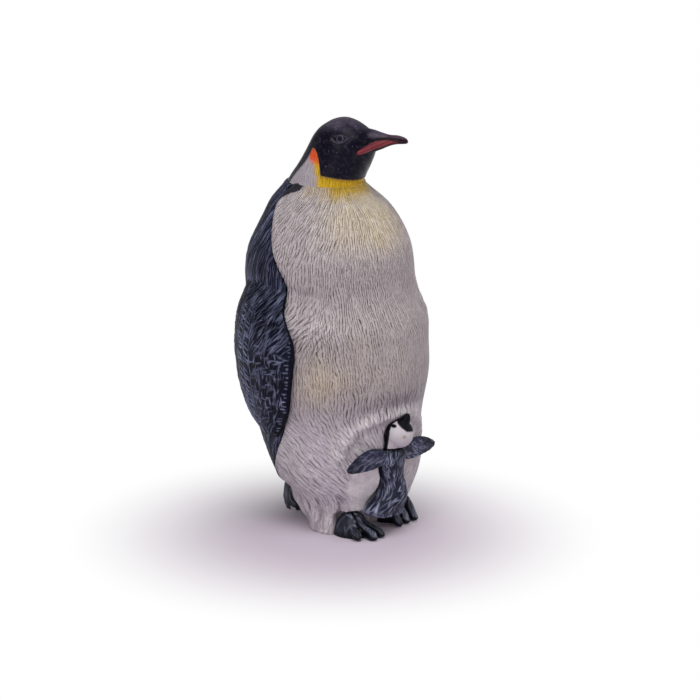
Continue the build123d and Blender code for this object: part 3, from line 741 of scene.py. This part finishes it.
# flippers
flipperLook = {
    "grain": 0.15, "relax": 5, "seed": 13, "raise": 0.2, "hollowDepth": 0.15, "perDegree": 0.36,
    "sheet": ((-1, 15), (20, 62), 0.08),
    # the leading edge: heights, degrees from the midline
    "heights": [21.5, 24.4, 28.0, 35.0, 43.0, 49.5, 54.0, 58.0],
    "leading": [89, 82, 76.5, 73, 72, 74.5, 73.5, 79],
    # it waves forwards and back: height, millimetres forwards
    "wave": ((38.0, 43.8, 47.0, 50.0, 53.4, 56.0), (0.0, 0.5, 0.0, -0.4, 0.65, 0.0)),
    # how deep the top sinks into the shoulder, and the part behind its leading corner
    "sink": 1.1, "sinkFrom": 53.5, "sinkBehind": 0.85,
    # rows of scales, in millimetres from the widest part of the trailing edge
    "rowsFrom": 127, "rows": (4.3, 6.7, 9.0),
    # lowest and highest start and pitch of the scales' lines and bars, and of the leading edge's ticks
    "scaleLines": (24, 52, 2.6), "scaleBars": (22, 50, 1.15), "ticks": (22, 56, 0.95),
    "tickLength": (0.5, 1.5), "shoulderStrokes": 210,
    # streaks to the tip, level and upright blocks: sheet, number, first and last start, lean, sway,
    # length, radius, depth
    "marks": [
        ("aft", 70, (1.0, 22), (11, 34), 0.0, 0.12, (2.5, 7.0), (0.15, 0.22), (0.5, 1.0)),
        ("aft", 60, (-1.0, 24), (4.0, 52), 0.0, 0.15, (1.5, 5.0), (0.15, 0.2), (0.4, 0.9)),
        ("fore", 90, (1.2, 24), (9, 42), 1.35, 0.2, (0.8, 2.4), (0.15, 0.22), (0.4, 1.0)),
        ("fore", 70, (1.5, 24), (9, 42), 0.0, 0.18, (0.8, 3.0), (0.15, 0.22), (0.35, 1.0)),
    ],
    "finish": {
        "paint": linear(11, 14, 35), "wash": linear(3, 4, 12), "light": linear(162, 170, 204),
        "strokes": [("shoulder", 0.75, 0.74, 2.8), ("blade", 0.1, 0.8, 2.4)],
        "strokeCut": 0.0, "strokeBrush": 0.75, "strokeRelief": 1.0,
        "speckle": 0.35, "relief": 0.35, "gloss": 0.07, "rough": 0.28,
    },
}


def makeFlipper(node, name, side):
    look = flipperLook
    obj, points, normals = clayFrom(node, name, look)
    angle, _, z = unroll(points)
    outwards = facing(points, normals)
    leading = np.interp(z, look["heights"], look["leading"])
    # millimetres in from the leading edge, and in from where the blade is widest behind
    fore = (np.abs(angle) - leading) * look["perDegree"]
    aft = (look["rowsFrom"] - np.abs(angle)) * look["perDegree"]
    rng = np.random.default_rng(look["seed"])
    sheets = {"fore": blankSheet(*look["sheet"]), "aft": blankSheet(*look["sheet"])}
    # rows of scales along the trailing edge
    lines = np.array([(row, top) for row in look["rows"] for top in np.arange(*look["scaleLines"])])
    carveRow(sheets["aft"], rng, lines, lambda a, b: ripple(a * 3, b, 2.0, 51) * 0.7, 3.2, 0.2, (0.6, 1.0))
    for k in range(len(look["rows"]) - 1):
        low, high = look["rows"][k:k + 2]
        bars = np.array([(low, level + 0.55 * k) for level in np.arange(*look["scaleBars"])])
        bars += rng.normal(0, 0.1, bars.shape)
        carveRow(sheets["aft"], rng, bars, lambda a, b: 1.2 + ripple(a * 2, b, 0.9, 52),
                 high - low, 0.24, (0.8, 1.2))
    # long streaks down to the tip, and short blocks of ridges over the middle
    for sheet, count, low, high, lean, sway, length, radius, depth in look["marks"]:
        comb(sheets[sheet], rng, count, low, high, lambda a, b, t: lean + sway * t, length, radius, depth)
    # ticks along the leading edge
    ticks = np.array([(0.25, level) for level in np.arange(*look["ticks"])])
    ticks += rng.normal(0, 0.12, ticks.shape)
    length = rng.uniform(*look["tickLength"], len(ticks))
    carveRow(sheets["fore"], rng, ticks, lambda a, b: np.full(len(a), 1.5), length, 0.22, (0.4, 1.0))
    # slanting strokes on the shoulder
    comb(sheets["fore"], rng, look["shoulderStrokes"], (-1, 42), (16, 61),
         lambda a, b, t: 0.85 - 0.04 * a + 0.12 * t + 0.4 * ripple(a, b, 2.0, 53),
         (1.5, 4.5), (0.15, 0.2), (0.4, 1.0))
    ridge = np.maximum(readSheet(sheets["fore"], fore, z), readSheet(sheets["aft"], aft, z))
    hollow = cloud(fore + 30 * side, z, 1.3, 54)
    pushOut(obj, (look["raise"] * (ridge - 0.8) - look["hollowDepth"] * hollow) * smooth(0.1, 0.45, outwards))
    # the top of the blade sinks into the shoulder, and its leading corner stays proud
    sinkFrom = look["sinkFrom"] + 2.4 * smooth(3.2, 0.8, fore)
    sinkBehind = look["sinkBehind"] * smooth(46, 55, z) * smooth(2, 6, fore)
    sunk = np.maximum(look["sink"] * smooth(sinkFrom, 57.6, z), sinkBehind)
    wave = np.interp(z, *look["wave"]) * smooth(6.0, 1.0, fore)
    away = awayFrom(points)
    forwards = -np.sign(angle)[:, None] * np.stack([-away[:, 1], away[:, 0]], axis=1)
    moved, _ = clayPoints(obj)
    moved[:, :2] -= away * sunk[:, None]
    moved[:, :2] += forwards * wave[:, None]
    setPoints(obj, moved)
    # plain dark paint on the inner side, brushed light on the outer
    inside = 1 - smooth(-0.5, -0.1, outwards)
    outside = smooth(0.05, 0.35, outwards)
    scales = smooth(3.6, 4.3, aft) * smooth(9.6, 9.0, aft) * smooth(23, 26, z) * smooth(50, 46, z)
    bristle = 0.45 + 0.65 * cloud(fore, z, 1.6, 55) + 0.1 * scales - 0.35 * smooth(43, 48, z)
    setSheet(obj, fore, z)
    setMasks(
        obj, cut=(1 - ridge) * (0.1 + 0.6 * hollow) * (1 - inside) + inside * 0.75,
        brush=ridge * bristle * outside,
        shoulder=smooth(40, 47, z) * np.maximum(outside, smooth(53, 55, z)),
        blade=0.3 * smooth(44, 38, z) * outside,
    )
    finishPiece(obj, paintMaterial(name + "Paint", look["finish"]), node)


# tail
tailLook = {
    "grain": 0.2, "relax": 5, "seed": 14, "ridges": 90, "raise": 0.2,
    # a rounded lobe: height, then its breadth there against the plain wedge
    "middle": (0.0, 9.0), "lobe": ((0.0, 1.2, 3.0, 5.5, 8.0, 10.0), (0.92, 1.02, 1.14, 1.2, 1.1, 1.0)),
    "finish": {
        "paint": linear(24, 25, 38), "wash": linear(8, 8, 15), "light": linear(168, 171, 192),
        "layers": [("chips", linear(205, 198, 204), linear(140, 132, 138))],
        "speckle": 0.35, "relief": 0.35, "gloss": 0.2, "rough": 0.32,
    },
}


def makeTail():
    look = tailLook
    obj, points, normals = clayFrom("tail", "tailWedge", look)
    middle = np.array(look["middle"])
    points[:, :2] = middle + (points[:, :2] - middle) * np.interp(points[:, 2], *look["lobe"])[:, None]
    setPoints(obj, points)
    x, y, z = points.T
    across = x - np.sign(x) * smooth(0.3, 0.9, np.abs(normals[:, 0])) * (y - 14)
    rng = np.random.default_rng(look["seed"])
    sheet = blankSheet((-20, -1), (20, 11))
    comb(sheet, rng, look["ridges"], (-18, 4), (18, 10), lambda a, b, t: a * 0.01 + 0.12 * t,
         (3.0, 8.0), (0.16, 0.28), (0.4, 1.0))
    ridge = readSheet(sheet, across, z)
    skin = smooth(0.05, 0.4, normals[:, 1] + 0.8 * np.abs(normals[:, 0])) * smooth(0.05, 0.5, z)
    pushOut(obj, look["raise"] * (ridge - 0.9) * skin)
    setMasks(
        obj, cut=0.5 * (1 - ridge) * cloud(x, z, 1.0, 61), brush=ridge * 0.8 * skin,
        chips=smooth(1.3, 0.5, z) * smooth(0.55, 0.75, cloud(x * 1.4, y * 1.4, 1.0, 63)),
    )
    finishPiece(obj, paintMaterial("tailPaint", look["finish"]), "tail")


# head, in millimetres forward along the bill and up from the collar
headLook = {
    "grain": 0.17, "relax": 6, "billRoot": (10.6, 1.8), "billRelax": 60,
    "brow": (4.8, 10.9), "browSpread": 2.6, "browRelax": 40,
    "eye": (5.1, 10.45), "eyeRing": 0.68, "lidWidth": 0.17,
    "lowerLid": [(3.15, 10.4), (3.8, 9.85), (4.8, 9.5), (5.8, 9.7), (6.7, 10.45)],
    "upperLid": [(3.8, 10.8), (4.5, 11.15), (5.1, 11.25), (5.8, 11.15), (6.4, 10.8)],
    "plate": [(8.6, 7.2), (8.8, 7.8), (10.0, 8.6), (11.7, 9.5), (13.6, 9.75), (15.2, 9.65), (16.6, 9.35),
              (14.8, 9.0), (13.1, 8.4), (11.4, 7.8), (10.0, 7.25), (9.0, 6.95)],
    "mouth": [(8.4, 8.2), (9.9, 9.1), (11.7, 9.85), (13.7, 10.2), (15.9, 10.1), (17.8, 9.7)],
    # the hood's rear edge: rise, forward; its lower edge: forward, rise
    "hoodRear": ((2.45, 2.7, 4.1, 5.3, 7.1, 8.2), (1.9, 1.25, 0.9, 0.55, -0.2, -1.2)),
    "hoodLower": ((1.9, 3.4, 5.4, 7.1, 9.5), (2.45, 2.2, 1.8, 1.4, 0.9)),
    "lidLift": 0.2, "socketDepth": 0.15, "plateLift": 0.16, "ribDepth": 0.1,
    "slotDepth": 0.3, "bareDepth": 0.12, "rimDrop": 0.14,
    "finish": {
        "paint": linear(10, 7, 24), "wash": linear(3, 3, 6), "light": linear(112, 102, 122),
        "layers": [
            ("maroon", linear(44, 18, 26), linear(10, 4, 7)),
            ("slate", linear(24, 25, 42), linear(6, 6, 13)),
            ("pale", linear(172, 163, 170), linear(84, 76, 84)),
            ("yellow", linear(206, 166, 38), linear(112, 86, 20)),
            ("orange", linear(236, 92, 40), linear(140, 46, 20)),
            ("red", linear(150, 66, 72), linear(60, 26, 32)),
        ],
        "strokes": [("combNeck", 0.0, 0.5, 2.4)],
        "strokeCut": 0.7, "strokeBrush": 0.0, "strokeRelief": 0.7,
        "speckle": 0.35, "relief": 0.5, "gloss": 0.1, "rough": 0.2,
    },
}


def headPlaces(points):  # forward, side and rise of each point in the turned head
    turn = math.radians(figure["headTurn"])
    local = points - np.array(figure["neck"])
    forward = local[:, 0] * math.sin(turn) - local[:, 1] * math.cos(turn)
    side = local[:, 0] * math.cos(turn) + local[:, 1] * math.sin(turn)
    return forward, side, local[:, 2]


def makeHead():
    look = headLook
    obj, points, _ = clayFrom("head", "headAndBill", look)
    forward, side, rise = headPlaces(points)
    # the bill grows out of the face in one curve, and the brow is soft
    relaxWhere(obj, bump(forward, *look["billRoot"]) * smooth(5.5, 7.0, rise), look["billRelax"])
    browX, browZ = look["brow"]
    brow = bump(np.hypot(forward - browX, rise - browZ), 0, look["browSpread"])
    relaxWhere(obj, brow * smooth(2.5, 4.0, np.abs(side)), look["browRelax"])
    points, _ = clayPoints(obj)
    forward, side, rise = headPlaces(points)
    cheek = smooth(2.5, 3.5, np.abs(side))
    eyeX, eyeZ = look["eye"]
    spread = np.hypot(forward - eyeX, rise - eyeZ)
    lower, _ = pathGap(forward, rise, look["lowerLid"])
    upper, _ = pathGap(forward, rise, look["upperLid"])
    lids = np.maximum(bump(lower, 0, look["lidWidth"]), 0.8 * bump(upper, 0, look["lidWidth"]))
    lids = np.maximum(lids, bump(spread, look["eyeRing"], look["lidWidth"])) * cheek
    socket = smooth(1.9, 1.0, np.hypot((forward - eyeX) / 1.3, rise - eyeZ)) * cheek
    mouth, _ = pathGap(forward, rise, look["mouth"])
    plate = softOutline(forward, rise, look["plate"], 0.12) * smooth(0.25, 0.6, np.abs(side))
    ribs = plate * (0.5 + 0.5 * np.cos((rise - 0.42 * forward) * 9.0))
    slot = bump(mouth, 0, 0.16) * smooth(0.2, 0.5, np.abs(side)) * smooth(8.5, 9.5, forward)
    # the black hood with its edge, the dark nape and crown
    rear = np.interp(rise, *look["hoodRear"])
    bottom = np.interp(forward, *look["hoodLower"])
    hood = smooth(-0.12, 0.12, forward - rear) * smooth(-0.12, 0.12, rise - bottom)
    crown = smooth(7.4, 8.0, rise + 0.3 * ripple(forward, side, 1.0, 72))
    nape = smooth(4.8, 4.3, np.abs(side) + 0.3 * ripple(rise, side, 1.5, 73)) * (forward < 2)
    black = np.maximum(np.maximum(hood, crown), nape)
    bare = 1 - black
    lift = look["lidLift"] * lids - look["socketDepth"] * socket + look["plateLift"] * plate
    lift = lift - look["ribDepth"] * ribs - look["slotDepth"] * slot
    lift += 0.1 * (cloud(forward, rise + side, 1.6, 71) - 0.9) - look["bareDepth"] * bare
    pushOut(obj, lift)
    # the rim meets the collar without a gap
    moved, _ = clayPoints(obj)
    moved[:, 2] -= look["rimDrop"] * smooth(0.9, 0.2, rise) * smooth(-0.4, 0.0, rise)
    setPoints(obj, moved)
    # yellow strip beside the hood and under it, orange at its top
    ragged = forward + 1.2 * ripple(forward + side, rise * 0.4, 0.6, 78)
    yellow = bare * np.maximum(smooth(2.1, 0.5, rear - forward), smooth(-0.4, 1.5, ragged))
    flame = rise + 0.6 * ripple(forward, rise, 0.9, 76)
    orange = bare * smooth(3.8, 6.0, flame) * smooth(2.0, 1.0, forward)
    orange *= smooth(3.0, 1.8, rear - forward)
    # the nape takes the back's slate, and the neck is combed below the hood
    slate = nape * smooth(8.0, 2.0, rise)
    setSheet(obj, np.arctan2(side, forward) * 8.0, rise)
    edge = 0.75 * bump(black, 0.5, 0.25)
    # painted shade: the bare colours darken towards the wash in a band just under the hood's lower edge
    edge += 0.4 * bare * smooth(-0.9, 0.0, rise - bottom) * smooth(0.5, 1.5, forward)
    # worn light on nape and hood, painted highlights on the crown's top and along the bill's ridge, and a few
    # specks
    wearAndHighlights = 0.25 * slate * cloud(forward + side, rise * 0.4, 0.6, 77)
    # painted highlights: the top of the crown and the bill's ridge are painted lighter
    wearAndHighlights += 0.4 * smooth(11.0, 14.0, rise) + 0.4 * smooth(9.9, 10.8, rise) * smooth(9.5, 12, forward)
    wearAndHighlights += 0.1 * smooth(0.5, 0.9, cloud(forward * 2, rise * 2 + side, 1.0, 79)) * hood
    specks = smooth(0.9, 0.96, cloud(forward * 3.2, rise * 3.2 + side, 1.0, 75)) * 0.5
    setMasks(
        obj, pale=bare, yellow=yellow, orange=orange, red=plate * (1 - 0.5 * ribs), slate=slate,
        maroon=0.9 * smooth(10.5, 14.0, forward),
        combNeck=0.7 * bare + slate * smooth(0.5, 1.0, np.abs(side)),
        cut=np.maximum(np.maximum(0.8 * slot, edge), 0.6 * socket * (1 - lids)),
        brush=wearAndHighlights + 0.48 * lids + specks,
    )
    finishPiece(obj, paintMaterial("headPaint", look["finish"]), "head")


# feet
footLook = {
    "grain": 0.16, "relax": 4, "seed": 15, "ridges": 130, "raise": 0.14, "dents": 0.25, "grooveDepth": 0.55,
    # heels, and the grooves between the toes: forward from the heel, then out from the middle toe
    "heels": {"right_foot": (-7.2, -8.39), "left_foot": (5.9, -5.89)},
    "groove": ((1.5, 4.0, 9.5), (0.75, 0.85, 1.35)), "grooveWidth": 0.32,
    # the left foot's toes stand steeper: how much taller, and the height that the instep keeps
    "steeper": {"right_foot": 0.0, "left_foot": 1.1}, "instep": 5.6, "instepGive": 0.15,
    "finish": {
        "paint": linear(17, 18, 31), "wash": linear(4, 4, 8), "light": linear(172, 178, 204),
        "speckle": 0.3, "relief": 0.35, "gloss": 0.18, "rough": 0.22,
    },
}


def makeFoot(node, name):
    look = footLook
    obj, points, normals = clayFrom(node, name, look)
    x, y, z = points.T
    heelX, heelY = look["heels"][node]
    ahead, out = heelY - y, np.abs(x - heelX)
    taller = 1 + look["steeper"][node] * smooth(9.6, 7.0, ahead) * (0.45 + 0.55 * smooth(0.8, 2.4, out))
    lifted = z * taller
    instep = look["instep"]
    lifted = np.where(lifted > instep, instep + look["instepGive"] * (lifted - instep), lifted)
    setPoints(obj, np.stack([x, y, np.maximum(z, lifted)], axis=1))
    rng = np.random.default_rng(look["seed"])
    low, high = [np.array(c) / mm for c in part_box(node)]
    sheet = blankSheet((low[0] - 1, low[1] - 1), (high[0] + 1, high[1] + 1))
    comb(sheet, rng, look["ridges"], low[:2], high[:2],
         lambda a, b, t: 0.5 * t + ripple(a, b, 2.0, 81), (0.8, 2.6), (0.14, 0.24), (0.3, 1.0))
    ridge = readSheet(sheet, x, y)
    skin = smooth(0.0, 0.4, normals[:, 2]) * smooth(0.1, 0.7, z)
    groove = bump(out, np.interp(ahead, *look["groove"]), look["grooveWidth"])
    groove = groove * smooth(1.0, 3.0, ahead) * smooth(0.3, 1.0, z)
    lift = look["raise"] * (ridge - 0.9) + look["dents"] * (cloud(x, y, 1.3, 82) - 0.9)
    pushOut(obj, lift * skin - look["grooveDepth"] * groove)
    setMasks(
        obj, cut=0.6 * (1 - ridge) * cloud(x, y, 0.8, 84) + 0.7 * groove,
        brush=skin * (1.1 * ridge * cloud(x, y, 0.9, 83) + 0.08) * (1 - groove),
    )
    finishPiece(obj, paintMaterial(name + "Paint", look["finish"]), node)


# chick
chickLook = {
    "grain": 0.14, "headGrain": 0.12, "relax": 4, "seed": 16,
    "axis": (-0.8, -16.9), "unrollRadius": 3.2,
    "tufts": 520, "wingTufts": 90, "tuftLift": 0.16, "lumps": 0.3, "wingLift": 0.12,
    "faceLift": 0.12, "faceSink": 0.1,
    # the head's painted face: across and up from its middle, seen from where the chick looks
    "head": (0.0, -18.59, 22.6), "headTurn": -43.0, "headTilt": 15.5,
    "crown": [(-0.56, 3.0), (0.4, 3.6), (1.2, 4.6), (2.6, 4.6), (2.9, 3.0), (3.1, 1.8), (2.9, 0.5),
              (1.6, 0.45), (0.4, 1.3), (-0.4, 2.2)],
    "stripe": [(-3.0, -3.2), (-2.7, -1.1), (-2.5, 0.75), (-1.95, 2.3), (-0.9, 3.1), (0.2, 3.4)],
    "eye": (-1.24, 1.73), "eyeSize": (0.62, 0.42), "eyeSlant": 0.4,
    "stripeEdge": (0.5, 0.32), "spot": (1.05, -0.68), "spotEdge": (0.5, 0.3),
    # the head stands higher on the neck than its plain solid, and the wings are broader
    "rise": 0.6, "broad": 0.3,
    # the trunk's girth against its plain solid: heights, shares
    "girthLeft": ((4.4, 6.6, 9.6, 13.5, 16.4, 18.8), (0.86, 0.86, 1.03, 1.15, 1.14, 1.1)),
    "girthRight": ((4.4, 5.4, 6.3, 7.3, 8.5, 9.8, 11.8, 13.8, 16.4, 18.8),
                   (0.8, 0.98, 1.1, 1.02, 0.83, 0.77, 0.88, 1.02, 1.12, 1.1)),
    "finish": {
        "paint": linear(46, 48, 70), "wash": linear(8, 8, 16), "light": linear(182, 188, 216),
        "layers": [("black", linear(18, 17, 28), linear(7, 7, 11))],
        "speckle": 0.35, "relief": 0.35, "gloss": 0.12, "rough": 0.3,
    },
    "face": {
        "paint": linear(196, 189, 194), "wash": linear(110, 100, 106), "light": linear(218, 213, 218),
        "layers": [
            ("black", linear(12, 10, 18), linear(6, 5, 9)),
            ("spot", linear(150, 138, 112), linear(90, 80, 62)),
        ],
        "speckle": 0.25, "relief": 0.3, "gloss": 0.1, "rough": 0.35,
    },
}


def makeChickBody():
    look = chickLook
    obj, points, _ = clayFrom("chick_body", "chickTrunk", look)
    ax, ay = look["axis"]
    left, right = [np.interp(points[:, 2], *look[key]) for key in ("girthLeft", "girthRight")]
    points[:, 0] = ax + (points[:, 0] - ax) * np.where(points[:, 0] > ax, left, right)
    points[:, 2] += look["rise"] * smooth(13.0, 18.6, points[:, 2])
    setPoints(obj, points)
    around = np.arctan2(points[:, 0] - ax, -(points[:, 1] - ay)) * look["unrollRadius"]
    z = points[:, 2]
    rng = np.random.default_rng(look["seed"])
    sheet = blankSheet((-11, 2), (11, 21), 0.08)
    comb(sheet, rng, look["tufts"], (-10.5, 4), (10.5, 20),
         lambda a, b, t: 0.25 * t + ripple(a, b, 2.2, 91) * 2.2, (0.8, 2.6), (0.12, 0.2), (0.3, 1.0))
    ridge = readSheet(sheet, around, z)
    pushOut(obj, look["tuftLift"] * (ridge - 0.5) + look["lumps"] * ripple(around, z, 1.8, 92))
    setMasks(
        obj, cut=(1 - ridge) * (0.2 + 0.5 * cloud(around, z, 0.7, 94)),
        brush=ridge * (0.4 + 0.2 * smooth(13, 9, z) + 0.7 * cloud(around, z, 0.8, 93)),
        black=0.5 * smooth(17.8, 18.6, z),
    )
    finishPiece(obj, paintMaterial("chickDown", look["finish"]), "chick_body")


def makeChickWing(node, name):
    look = chickLook
    obj, points, _ = clayFrom(node, name, look)
    x, z = points[:, 0], points[:, 2]
    reach = np.abs(x - look["axis"][0])
    middle = np.polyval(np.polyfit(x, z, 2), x)
    z = middle + (z - middle) * (1 + look["broad"] * smooth(2.5, 6.0, reach))
    points[:, 2] = z
    setPoints(obj, points)
    rng = np.random.default_rng(look["seed"] + 1)
    low, high = [np.array(c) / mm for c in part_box(node)]
    side = 1.0 if low[0] + high[0] > 0 else -1.0
    sheet = blankSheet((low[0] - 1, low[2] - 1), (high[0] + 1, high[2] + 1), 0.08)
    comb(sheet, rng, look["wingTufts"], low[[0, 2]], high[[0, 2]], lambda a, b, t: side * 1.1 + 0.4 * t,
         (0.8, 2.2), (0.12, 0.2), (0.3, 1.0))
    ridge = readSheet(sheet, x, z)
    pushOut(obj, look["wingLift"] * (ridge - 0.6))
    tip = smooth(7.5, 11.0, reach)
    setMasks(
        obj, cut=(1 - ridge) * 0.4 * cloud(x, z, 0.7, 96),
        brush=ridge * (0.25 + 0.6 * cloud(x, z, 0.8, 95)) * (1 - 0.6 * tip), black=0.6 * tip,
    )
    finishPiece(obj, paintMaterial(name + "Down", look["finish"]), node)


def makeChickHead():
    look = chickLook
    obj, points, _ = clayFrom("chick_head", "chickFace", {**look, "grain": look["headGrain"]})
    points[:, 2] += look["rise"]
    setPoints(obj, points)
    local = points - np.array(look["head"])
    turn, tilt = math.radians(look["headTurn"]), math.radians(look["headTilt"])
    across = local[:, 0] * math.cos(turn) + local[:, 1] * math.sin(turn)
    ahead = local[:, 0] * math.sin(turn) - local[:, 1] * math.cos(turn)
    up = local[:, 2] * math.cos(tilt) - ahead * math.sin(tilt)
    near = ahead * math.cos(tilt) + local[:, 2] * math.sin(tilt)
    crown = softOutline(across, up, look["crown"], 0.12)
    stripe, _ = pathGap(across, up, look["stripe"])
    eyeAcross, eyeUp = across - look["eye"][0], up - look["eye"][1]
    eyeWide, eyeHigh = look["eyeSize"]
    eye = np.hypot(eyeAcross / eyeWide + look["eyeSlant"] * eyeUp, eyeUp / eyeHigh)
    spot = np.hypot(across - look["spot"][0], up - look["spot"][1])
    # black crown, stripe, eye and back of the head
    black = np.maximum(crown, smooth(*look["stripeEdge"], stripe))
    black = np.maximum(black, smooth(1.1, 0.85, eye))
    black = np.maximum(black * smooth(-0.6, 0.2, near), smooth(0.2, -0.6, near))
    pushOut(obj, look["faceLift"] * black - look["faceSink"])
    setMasks(
        obj, cut=0.8 * bump(black, 0.5, 0.2),
        brush=(0.06 + 0.3 * cloud(across * 2, up * 2, 1.0, 96)) * (1 - black),
        black=black, spot=0.8 * smooth(*look["spotEdge"], spot) * (near > 0),
    )
    finishPiece(obj, paintMaterial("chickFacePaint", look["face"]), "chick_head")


# floor, light and camera
studio = {
    "target": (1.6, -1.37, 37.4), "azimuth": -43.0, "elevation": 15.5, "distance": 700.0,
    "focal": 165.96, "sensor": 36.0, "farthest": 20.0,
    # the paper's lilac grey is darkened to stand in for the shade round the figure
    "floorSize": 4.0, "floor": linear(207, 194, 208), "floorRough": 0.8,
    # painted shade: the paper keeps its darker lilac grey round this place, where the figure's shadow falls,
    # and fades to plain white between these two distances
    "paintedShadeCentre": (-10, -9, 0), "fade": (13, 60),
    "sky": 0.36, "white": (1, 1, 1, 1),
    # name, place, size, watts
    "lamps": [
        ("topSoftbox", (-110, -150, 430), 320, 1.15),
        ("leftSoftbox", (-420, -220, 220), 360, 0.5),
        ("rightSoftbox", (360, -260, 200), 360, 0.3),
    ],
}


def raysThatSee(tree, *kinds):  # 1 for the kinds of ray that see the plain background
    path = tree.nodes.new("ShaderNodeLightPath")
    seen = path.outputs[kinds[0]]
    for kind in kinds[1:]:
        seen = mathNode(tree, "MAXIMUM", seen, path.outputs[kind])
    return seen


def makeFloor():
    bpy.ops.object.select_all(action="DESELECT")
    bpy.ops.mesh.primitive_plane_add(size=studio["floorSize"], location=(0, 0, 0))
    floor = bpy.context.object
    floor.name = "floor"
    mat = bpy.data.materials.new("floorPaper")
    mat.use_nodes = True
    tree = mat.node_tree
    shader = tree.nodes["Principled BSDF"]
    socketValue(shader, "Base Color", studio["floor"])
    socketValue(shader, "Roughness", studio["floorRough"])
    # painted shade: the darker paper near the shade's centre turns white farther out
    place = tree.nodes.new("ShaderNodeTexCoord")
    length = tree.nodes.new("ShaderNodeVectorMath")
    length.operation = "DISTANCE"
    tree.links.new(place.outputs["Object"], length.inputs[0])
    length.inputs[1].default_value = [c * mm for c in studio["paintedShadeCentre"]]
    far = tree.nodes.new("ShaderNodeMapRange")
    far.interpolation_type = "SMOOTHSTEP"
    socketValue(far, "From Min", studio["fade"][0] * mm)
    socketValue(far, "From Max", studio["fade"][1] * mm)
    tree.links.new(length.outputs["Value"], far.inputs["Value"])
    # white for the camera and in reflections, while the paper still takes the shadow
    seen = raysThatSee(tree, "Is Camera Ray", "Is Glossy Ray", "Is Transmission Ray")
    white = tree.nodes.new("ShaderNodeEmission")
    socketValue(white, "Color", studio["white"])
    blend = tree.nodes.new("ShaderNodeMixShader")
    tree.links.new(mathNode(tree, "MULTIPLY", far.outputs["Result"], seen), blend.inputs[0])
    tree.links.new(shader.outputs[0], blend.inputs[1])
    tree.links.new(white.outputs[0], blend.inputs[2])
    tree.links.new(blend.outputs[0], tree.nodes["Material Output"].inputs["Surface"])
    floor.data.materials.append(mat)


def makeLight(target):
    world = bpy.data.worlds.new("studio")
    world.use_nodes = True
    scene.world = world
    tree = world.node_tree
    sky = tree.nodes["Background"]
    socketValue(sky, "Color", studio["white"])
    seen = raysThatSee(tree, "Is Camera Ray", "Is Transmission Ray")
    level = mathNode(tree, "MULTIPLY_ADD", seen, 1.0 - studio["sky"], studio["sky"])
    tree.links.new(level, sky.inputs["Strength"])
    for name, place, size, watts in studio["lamps"]:
        lamp = bpy.data.lights.new(name, "AREA")
        lamp.size = size * mm
        lamp.energy = watts
        obj = bpy.data.objects.new(name, lamp)
        obj.location = Vector(place) * mm
        obj.rotation_euler = (target - obj.location).to_track_quat("-Z", "Y").to_euler()
        scene.collection.objects.link(obj)


def makeCamera(target):
    turn, tilt = math.radians(studio["azimuth"]), math.radians(studio["elevation"])
    back = Vector((math.sin(turn) * math.cos(tilt), -math.cos(turn) * math.cos(tilt), math.sin(tilt)))
    lens = bpy.data.cameras.new("camera")
    lens.lens = studio["focal"]
    lens.sensor_width = studio["sensor"]
    lens.clip_end = studio["farthest"]
    camera = bpy.data.objects.new("camera", lens)
    camera.location = target + back * studio["distance"] * mm
    camera.rotation_euler = (-back).to_track_quat("-Z", "Y").to_euler()
    scene.collection.objects.link(camera)
    scene.camera = camera
    print("studio set")


def makeStudio():
    target = Vector(studio["target"]) * mm
    makeFloor()
    makeLight(target)
    makeCamera(target)


makeBreast()
makeBack()
makeFlipper("right_flipper", "rightFlipper", -1)
makeFlipper("left_flipper", "leftFlipper", 1)
makeTail()
makeHead()
makeFoot("right_foot", "rightFoot")
makeFoot("left_foot", "leftFoot")
makeChickBody()
makeChickWing("chick_right_wing", "chickRightWing")
makeChickWing("chick_left_wing", "chickLeftWing")
makeChickHead()
makeStudio()
